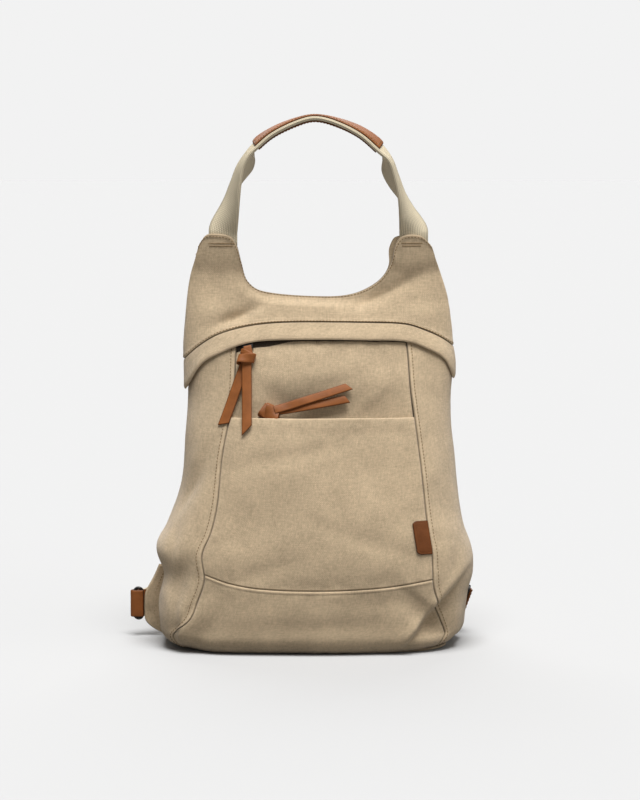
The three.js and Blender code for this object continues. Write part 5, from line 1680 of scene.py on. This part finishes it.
def fitting_frame(side):
    """Axes of a ring and its strap end."""
    table, depth, _, degrees, lean, *_ = FITTINGS[side]
    edge = read_table(table, RING["centre"] / BODY_HEIGHT)[1] * HALF_WIDTH
    if side == "left":
        origin = (edge - CLEARANCE, depth, RING["centre"])
    else:
        origin = (edge + STACK_GAP, depth + TAB_THICK / 2 + STACK_GAP, RING["centre"])
    frame_at = turn("Z", degrees) @ turn("X", lean)
    frame_at[:3, 3] = origin
    return frame_at


def tab_grids(side):
    """Grids of the tab beside a lower corner."""
    table, y, gap, *_ = FITTINGS[side]
    sign = -1 if side == "left" else 1
    t = spaced((table[-1, 0] - table[0, 0]) * BODY_HEIGHT, 1.4)
    s = spaced(TAB_WIDTH, 1.2)
    up = mix(table[0, 0], table[-1, 0], t)
    z = up * BODY_HEIGHT
    half = TAB_THICK / 2
    root = np.maximum(sign * side_of_body(sign, y - half, z), sign * side_of_body(sign, y + half, z))
    edge = sign * read_table(table, up)[:, 1] * HALF_WIDTH
    first, last = root + gap - 0.6, np.maximum(edge, root + 2 * gap)
    x = sign * mix(first[:, None], last[:, None], s[None])
    place = np.stack([x, np.full(x.shape, y), np.broadcast_to(z[:, None], x.shape)], -1)
    return place - [0, half, 0], place + [0, half, 0]


def add_tab(side):
    """Canvas tab beside a lower corner, with its two rows of stitches."""
    front, back = tab_grids(side)
    gaps = edge_gaps(front)
    free = gaps[0] if side == "left" and front[0, 0, 0] < front[0, -1, 0] else gaps[1]
    edge = np.minimum.reduce([free, gaps[2], gaps[3]])
    puff = noise(front, 11.0, 91) * 0.35 - 0.9 * bell(edge, 0, 0.9)
    puff -= 0.2 * bell(edge, 3.2, 0.6)
    grids = [g + np.stack([0 * puff, s * puff, 0 * puff], -1) for g, s in ((front, -1), (back, 1))]
    # Masks of painted shade along the tab's rolled edges and of wear and painted highlight just inside them
    part = sheet_part(*grids, 0.4 * bell(edge, 0, 0.5), bell(edge, 1.2, 1.2))
    build(f"tab_{side}_cloth", [part], finish_of("Canvas"), [f"tab_{side}"])
    rows = []
    reach = np.linalg.norm(front[:, 0] - front[:, -1], axis=-1)
    for inset in (3.2, 9.5):
        share = np.clip(inset / np.maximum(reach, 1e-6), 0, 0.5)[:, None]
        line = mix(grids[0][:, -1], grids[0][:, 0], share)
        keep = (reach > inset + 2.5) & (gaps[2][:, 0] > 3) & (gaps[3][:, 0] > 3)
        if keep.sum() > 4:
            line = line[keep]
            rows.append(thread_line(line, np.tile([0.0, -1.0, 0.0], (len(line), 1))))
    if rows:
        stitched(f"tab_{side}_stitches", rows, [f"tab_{side}"])


def add_ring(side, place):
    """Metal ring with two straight sides."""
    angle = np.linspace(0, math.pi, 13)
    radius = (RING["width"] - RING["wire"]) / 2
    straight = (RING["height"] - RING["width"]) / 2
    turns = np.concatenate([angle, angle + math.pi])
    shift = np.repeat([straight, -straight], len(angle))
    x = np.cos(turns) * radius + RING["width"] / 2
    origins = np.stack([x, 0 * turns, np.sin(turns) * radius + shift], -1)
    out = np.stack([np.cos(turns), 0 * turns, np.sin(turns)], -1)
    side_axis = np.tile([0.0, 1.0, 0.0], (len(turns), 1))
    ring = place_part(sweep_part(origins, out, side_axis, circle(RING["wire"] / 2, 14), closed=True), place)
    build(f"ring_{side}_wire", [ring], finish_of("Gunmetal"), [f"ring_{side}"])


def end_grid(legs, r):
    """Leather strap end round the ring's wire, at a radius of its bend."""
    bend_at = RING["width"] - RING["wire"] / 2
    line = [(x, -r) for x in np.linspace(legs[0], bend_at, 14)[:-1]]
    line += [(bend_at + r * math.cos(a), r * math.sin(a)) for a in np.radians(np.linspace(-90, 90, 15))]
    line += [(x, r) for x in np.linspace(bend_at, legs[1], 12)[1:]]
    z = (spaced(END_HEIGHT, 2.0) - 0.5) * END_HEIGHT
    grid = np.zeros((len(z), len(line), 3))
    grid[..., :2] = line
    grid[..., 2] = z[:, None]
    return grid


def add_strap_end(side, place):
    """Leather strap end folded round the ring, with two rows of stitches beside the fold."""
    radii = END_HALF + END_THICK / 2, END_HALF - END_THICK / 2
    outer, inner = (end_grid(FITTINGS[side][5], r) for r in radii)
    facing = facing_of(outer, inner)
    edge = np.minimum.reduce(edge_gaps(outer))
    lift = noise(outer, 9.0, 97) * 0.12 - 0.55 * bell(edge, 0, 0.5)
    outer = outer + facing * lift[..., None]
    part = place_part(sheet_part(outer, inner, bell(edge, 0, 0.55), 0.6 * bell(edge, 1.3, 0.9)), place)
    build(f"strap_end_{side}_leather", [part], finish_of("Leather"), [f"strap_end_{side}"])
    column = int(np.argmin(np.abs(outer[0, :14, 0] - END_STITCH)))
    rotate = place[:3, :3]
    rows = []
    for c in (column, column + 1):
        points, normals = thread_line(outer[3:-3, c], facing[3:-3, c])
        rows.append((points @ rotate.T + place[:3, 3], normals @ rotate.T))
    stitched(f"strap_end_{side}_stitches", rows, [f"strap_end_{side}"])


def add_fittings():
    for side in FITTINGS:
        place = fitting_frame(side)
        add_tab(side)
        add_ring(side, place)
        add_strap_end(side, place)


# Straps: share, across, out, up, look, lean
STRAP_LEFT = np.array([
    (0, -1.065, 0.692, 0.125, 0, 0), (0.05, -1.0, 0.7, 0.1255, 0, 0), (0.1, -0.94, 0.87, 0.13, 0, 0),
    (0.16, -0.865, 1.04, 0.146, 0, 0), (0.22, -0.8, 1.11, 0.185, 0, 0), (0.3, -0.752, 1.155, 0.245, 0, 0),
    (0.47, -0.652, 1.17, 0.38, 0, 0), (0.67, -0.51, 1.13, 0.543, 0, 0), (0.86, -0.404, 0.97, 0.693, 0, 0),
    (0.94, -0.355, 0.77, 0.775, 0, 0), (1, -0.335, 0.665, 0.835, 0, 0),
])
STRAP_RIGHT = np.array([
    (0, 0.955, 0.736, 0.1296, 90, 20), (0.05, 0.955, 0.9, 0.13, 89.5, 20), (0.1, 0.93, 1.03, 0.134, 62, 14),
    (0.16, 0.88, 1.12, 0.148, 30, 6), (0.22, 0.82, 1.165, 0.182, 10, 0), (0.3, 0.765, 1.175, 0.245, 0, 0),
    (0.47, 0.66, 1.17, 0.38, 0, 0), (0.67, 0.515, 1.13, 0.543, 0, 0), (0.86, 0.404, 0.97, 0.693, 0, 0),
    (0.94, 0.355, 0.77, 0.775, 0, 0), (1, 0.335, 0.665, 0.835, 0, 0),
])


def strap_grids(side, table):
    """Grids of a shoulder strap along its course."""
    frame_at = fitting_frame(side)
    at, strap_side = FITTINGS[side][6:]
    reach = strap_side * (END_HALF + END_THICK / 2 + STACK_GAP + STRAP_THICK / 2)
    start = (frame_at @ [at, reach, 0, 1])[:3]
    scale = np.array([HALF_WIDTH, HALF_DEPTH, BODY_HEIGHT])
    shift = start - table[0, 1:4] * scale

    def middle(t):
        course = read_table(table, np.clip(t, 0, 1))[..., 1:4] * scale
        return course + shift * (1 - ease(t, 0.03, 0.2))[..., None]

    t = np.linspace(0, 1, 170)
    along = unit(middle(t + 0.005) - middle(t - 0.005))
    row = read_table(table, t)
    look, lean = np.radians(row[:, 4]), np.radians(row[:, 5])
    normal = np.stack([np.sin(look), np.cos(look), -np.tan(lean)], -1)
    normal = unit(normal - along * np.sum(normal * along, -1, keepdims=True))
    across = np.cross(along, normal)
    s = spaced(STRAP_WIDTH, 2.0)
    place = middle(t)[:, None] + across[:, None] * ((s - 0.5) * STRAP_WIDTH)[None, :, None]
    ply = normal[:, None] * STRAP_THICK / 2
    return place + ply, place - ply


def add_straps():
    for side, table in (("left", STRAP_LEFT), ("right", STRAP_RIGHT)):
        outer, inner = strap_grids(side, table)
        gaps = edge_gaps(outer)
        edge = np.minimum(gaps[0], gaps[1])
        round_off = 0.45 * bell(edge, 0, 0.6)
        facing = facing_of(outer, inner)
        swell = noise(outer, 30.0, 101) * 0.25
        outer = outer + facing * (swell - round_off)[..., None]
        inner = inner + facing * (swell + round_off)[..., None]
        # Painted shade along the straps' edges
        part = sheet_part(outer, inner, 0.5 * bell(edge, 0, 0.8))
        build(f"strap_{side}_webbing", [part], finish_of("Webbing"), [f"strap_{side}"])
        rows = [thread_line(outer[-12:-2, c], facing[-12:-2, c]) for c in (5, len(outer[0]) // 2, -6)]
        stitched(f"strap_{side}_stitches", rows, [f"strap_{side}"], "Pale thread")


# Floor, light and camera
FLOOR_REACH = 40.0
FILM_HEIGHT = 36.0
VIEW_REACH = 200.0

# Lights: where each comes from, how wide it spreads in degrees, and its share of the key's strength
LIGHTS = {
    "key_light": ((0.06, -0.26, 1.0), 36, 1.0),
    "side_light": ((1.0, -0.5, 0.5), 60, 0.1),
    "back_light": ((-0.1, 0.8, 0.6), 60, 0.3),
}


def seen_by_camera(g):
    """Mask of the rays that come straight from the camera."""
    return g.add("ShaderNodeLightPath").outputs["Is Camera Ray"]


def add_stage():
    scene = bpy.context.scene
    setting = scene.backpack.stage
    floor_mesh = bpy.data.meshes.new("floor")
    corners = [(x * FLOOR_REACH, y * FLOOR_REACH, 0) for x, y in ((-1, -1), (1, -1), (1, 1), (-1, 1))]
    floor_mesh.from_pydata(corners, [], [(0, 1, 2, 3)])
    floor = placed("floor", floor_mesh)
    paper = bpy.data.materials.new("Paper")
    paper.use_nodes = True
    shader = paper.node_tree.nodes["Principled BSDF"]
    g = Graph(paper.node_tree)
    shade = g.blend(seen_by_camera(g), (setting.bounce,) * 3 + (1,), (setting.paper,) * 3 + (1,))
    g.tree.links.new(shade, shader.inputs["Base Color"])
    shader.inputs["Roughness"].default_value = 1.0
    shader.inputs["Specular IOR Level"].default_value = 0.0
    floor_mesh.materials.append(paper)

    world = bpy.data.worlds.new("Studio")
    world.use_nodes = True
    g = Graph(world.node_tree)
    backdrop = world.node_tree.nodes["Background"]
    strength = g.map(seen_by_camera(g), 0.0, 1.0, setting.fill, setting.backdrop)
    g.tree.links.new(strength, backdrop.inputs["Strength"])
    backdrop.inputs["Color"].default_value = (1, 1, 1, 1)
    scene.world = world
    scene.view_settings.view_transform = "Standard"
    for name, (place, spread, share) in LIGHTS.items():
        data = bpy.data.lights.new(name, "SUN")
        data.energy = setting.key * share
        data.angle = math.radians(spread)
        light = placed(name, data)
        light.location = place
        light.rotation_euler = (-Vector(place)).to_track_quat("-Z", "Y").to_euler()

    data = bpy.data.cameras.new("camera")
    data.sensor_fit = "VERTICAL"
    data.sensor_height = FILM_HEIGHT
    data.lens = setting.lens
    data.clip_end = VIEW_REACH
    camera = placed("camera", data)
    away = Vector((0, -math.cos(setting.elevation), math.sin(setting.elevation)))
    camera.location = Vector(setting.aim) + away * setting.distance
    camera.rotation_euler = (-away).to_track_quat("-Z", "Y").to_euler()
    scene.camera = camera


# Settings, commands and panel
LENGTH = {"subtype": "DISTANCE", "unit": "LENGTH"}
COLOUR = {"size": 3, "min": 0.0, "max": 1.0, "subtype": "COLOR"}


class ClothSettings(bpy.types.PropertyGroup):
    """How the cloth panels are drawn."""
    step: bpy.props.FloatProperty(
        name="Mesh step", description="Spacing of the mesh on a panel", default=0.0022, min=0.001, **LENGTH,
    )
    rumple: bpy.props.FloatProperty(
        name="Rumple", description="Share of the slack and puckers that show", default=1.0, min=0.0,
        max=2.0, subtype="FACTOR",
    )


class ThreadSettings(bpy.types.PropertyGroup):
    """Stitches of the seams."""
    pitch: bpy.props.FloatProperty(
        name="Pitch", description="Distance from stitch to stitch", default=0.0029, min=0.001, **LENGTH,
    )
    stitch: bpy.props.FloatProperty(
        name="Stitch", description="Length of one stitch", default=0.0021, min=0.0005, **LENGTH,
    )
    radius: bpy.props.FloatProperty(
        name="Thread radius", description="Radius of the thread", default=0.00038, min=0.0001, **LENGTH,
    )


class ZipSettings(bpy.types.PropertyGroup):
    """Teeth of the zips."""
    pitch: bpy.props.FloatProperty(
        name="Pitch", description="Distance from tooth to tooth", default=0.0014, min=0.0005, **LENGTH,
    )
    tooth: bpy.props.FloatProperty(
        name="Tooth", description="Thickness of a tooth along the zip", default=0.001, min=0.0002, **LENGTH,
    )


class ColourSettings(bpy.types.PropertyGroup):
    """Colours of the materials, as linear values."""
    canvas: bpy.props.FloatVectorProperty(
        name="Canvas", description="Colour of the washed canvas",
        default=(0.563, 0.426, 0.267), **COLOUR,
    )
    webbing: bpy.props.FloatVectorProperty(
        name="Webbing", description="Colour of the handle and shoulder straps",
        default=(0.82, 0.71, 0.51), **COLOUR,
    )
    leather: bpy.props.FloatVectorProperty(
        name="Leather", description="Colour of the grip, thongs and strap ends",
        default=(0.27, 0.088, 0.021), **COLOUR,
    )
    label: bpy.props.FloatVectorProperty(
        name="Label", description="Colour of the label's leather",
        default=(0.15, 0.045, 0.009), **COLOUR,
    )
    thread: bpy.props.FloatVectorProperty(
        name="Thread", description="Colour of the stitches",
        default=(0.26, 0.17, 0.085), **COLOUR,
    )
    pale_thread: bpy.props.FloatVectorProperty(
        name="Pale thread", description="Colour of the stitches on the webbing",
        default=(0.5, 0.4, 0.26), **COLOUR,
    )
    zip_tape: bpy.props.FloatVectorProperty(
        name="Zip tape", description="Colour of the zips' tape",
        default=(0.1, 0.075, 0.05), **COLOUR,
    )
    zip_coil: bpy.props.FloatVectorProperty(
        name="Zip coil", description="Colour of the zips' teeth",
        default=(0.09, 0.065, 0.045), **COLOUR,
    )
    metal: bpy.props.FloatVectorProperty(
        name="Metal", description="Colour of the rings and sliders",
        default=(0.055, 0.052, 0.05), **COLOUR,
    )


class StageSettings(bpy.types.PropertyGroup):
    """Camera and light."""
    distance: bpy.props.FloatProperty(
        name="Distance", description="Camera to the point it looks at", default=2.05, min=0.5, **LENGTH,
    )
    elevation: bpy.props.FloatProperty(
        name="Elevation", description="Angle of the camera above the horizon", default=math.radians(6),
        subtype="ANGLE", unit="ROTATION",
    )
    lens: bpy.props.FloatProperty(
        name="Lens", description="Focal length", default=104.3, min=20.0, unit="CAMERA",
    )
    aim: bpy.props.FloatVectorProperty(
        name="Aim", description="Point that the camera looks at", default=(0.0026, -0.02, 0.2227),
        subtype="TRANSLATION", unit="LENGTH",
    )
    key: bpy.props.FloatProperty(
        name="Key light", description="Strength of the main light", default=4.2, min=0.0,
    )
    fill: bpy.props.FloatProperty(
        name="Fill", description="Strength of the light from all round", default=0.175, min=0.0,
    )
    paper: bpy.props.FloatProperty(
        name="Floor", description="Whiteness of the floor in the picture", default=0.505, min=0.0,
    )
    bounce: bpy.props.FloatProperty(
        name="Bounce", description="Whiteness of the floor as it lights the bag", default=0.2, min=0.0,
    )
    backdrop: bpy.props.FloatProperty(
        name="Backdrop", description="Brightness of the backdrop in the picture", default=0.888, min=0.0,
    )


class BackpackSettings(bpy.types.PropertyGroup):
    """All settings of the bag."""
    cloth: bpy.props.PointerProperty(type=ClothSettings, name="Cloth", description="Cloth panels")
    thread: bpy.props.PointerProperty(type=ThreadSettings, name="Thread", description="Stitches")
    zips: bpy.props.PointerProperty(type=ZipSettings, name="Zips", description="Zip teeth")
    colours: bpy.props.PointerProperty(type=ColourSettings, name="Colours", description="Colours")
    stage: bpy.props.PointerProperty(type=StageSettings, name="Stage", description="Camera and light")


class BACKPACK_OT_yoke(bpy.types.Operator):
    """Make the yoke's front and back with their seams and the stitches of the ears"""
    bl_idname = "backpack.yoke"
    bl_label = "Yoke"

    def execute(self, context):
        add_yoke()
        return {"FINISHED"}


class BACKPACK_OT_flap(bpy.types.Operator):
    """Make the arched flap with its rolled hem"""
    bl_idname = "backpack.flap"
    bl_label = "Flap"

    def execute(self, context):
        add_flap()
        return {"FINISHED"}


class BACKPACK_OT_front(bpy.types.Operator):
    """Make the front panels: slip pocket, lower strip and upper panel"""
    bl_idname = "backpack.front"
    bl_label = "Front"

    def execute(self, context):
        add_front()
        return {"FINISHED"}


class BACKPACK_OT_sides(bpy.types.Operator):
    """Make the two side panels with their topstitched seams"""
    bl_idname = "backpack.sides"
    bl_label = "Sides"

    def execute(self, context):
        add_sides()
        return {"FINISHED"}


class BACKPACK_OT_back(bpy.types.Operator):
    """Make the back panel"""
    bl_idname = "backpack.back"
    bl_label = "Back"

    def execute(self, context):
        add_back()
        return {"FINISHED"}


class BACKPACK_OT_base(bpy.types.Operator):
    """Make the base panel"""
    bl_idname = "backpack.base"
    bl_label = "Base"

    def execute(self, context):
        add_base()
        return {"FINISHED"}


class BACKPACK_OT_zips(bpy.types.Operator):
    """Make the tapes, cords and teeth of the three zips"""
    bl_idname = "backpack.zips"
    bl_label = "Zips"

    def execute(self, context):
        add_zips()
        return {"FINISHED"}


class BACKPACK_OT_sliders(bpy.types.Operator):
    """Make the three zip sliders"""
    bl_idname = "backpack.sliders"
    bl_label = "Sliders"

    def execute(self, context):
        add_sliders()
        return {"FINISHED"}


class BACKPACK_OT_pullers(bpy.types.Operator):
    """Make the knotted leather pullers and the tag of the back zip"""
    bl_idname = "backpack.pullers"
    bl_label = "Pullers"

    def execute(self, context):
        add_pullers()
        return {"FINISHED"}


class BACKPACK_OT_label(bpy.types.Operator):
    """Make the plain leather label"""
    bl_idname = "backpack.label"
    bl_label = "Label"

    def execute(self, context):
        add_label()
        return {"FINISHED"}


class BACKPACK_OT_handle(bpy.types.Operator):
    """Make the folded webbing handle and its leather grip"""
    bl_idname = "backpack.handle"
    bl_label = "Handle"

    def execute(self, context):
        add_handle()
        return {"FINISHED"}


class BACKPACK_OT_fittings(bpy.types.Operator):
    """Make the corner tabs, wire rings and leather strap ends"""
    bl_idname = "backpack.fittings"
    bl_label = "Corner fittings"

    def execute(self, context):
        add_fittings()
        return {"FINISHED"}


class BACKPACK_OT_straps(bpy.types.Operator):
    """Make the two shoulder straps"""
    bl_idname = "backpack.straps"
    bl_label = "Straps"

    def execute(self, context):
        add_straps()
        return {"FINISHED"}


class BACKPACK_OT_stage(bpy.types.Operator):
    """Set the floor, the lights and the camera"""
    bl_idname = "backpack.stage"
    bl_label = "Stage"

    def execute(self, context):
        add_stage()
        return {"FINISHED"}


OPERATORS = (
    BACKPACK_OT_yoke, BACKPACK_OT_flap, BACKPACK_OT_front, BACKPACK_OT_sides, BACKPACK_OT_back,
    BACKPACK_OT_base, BACKPACK_OT_zips, BACKPACK_OT_sliders, BACKPACK_OT_pullers, BACKPACK_OT_label,
    BACKPACK_OT_handle, BACKPACK_OT_fittings, BACKPACK_OT_straps, BACKPACK_OT_stage,
)


class BACKPACK_PT_main(bpy.types.Panel):
    """Sidebar panel of the bag"""
    bl_idname = "BACKPACK_PT_main"
    bl_label = "Canvas backpack"
    bl_space_type = "VIEW_3D"
    bl_region_type = "UI"
    bl_category = "Backpack"

    def draw(self, context):
        settings = context.scene.backpack
        for group in (
            settings.cloth, settings.thread, settings.zips, settings.colours, settings.stage,
        ):
            box = self.layout.box()
            for key in group.__annotations__:
                box.prop(group, key)
        for operator in OPERATORS:
            self.layout.operator(operator.bl_idname)


CLASSES = (
    ClothSettings, ThreadSettings, ZipSettings, ColourSettings, StageSettings, BackpackSettings,
    *OPERATORS, BACKPACK_PT_main,
)


def register():
    """Adds the settings, commands and panel."""
    for item in CLASSES:
        bpy.utils.register_class(item)
    bpy.types.Scene.backpack = bpy.props.PointerProperty(type=BackpackSettings)


def unregister():
    """Takes them away again."""
    del bpy.types.Scene.backpack
    for item in reversed(CLASSES):
        bpy.utils.unregister_class(item)


def main():
    """Makes the bag."""
    register()
    for operator in OPERATORS:
        getattr(bpy.ops.backpack, operator.bl_idname.split(".")[1])()


if __name__ == "__main__":
    main()
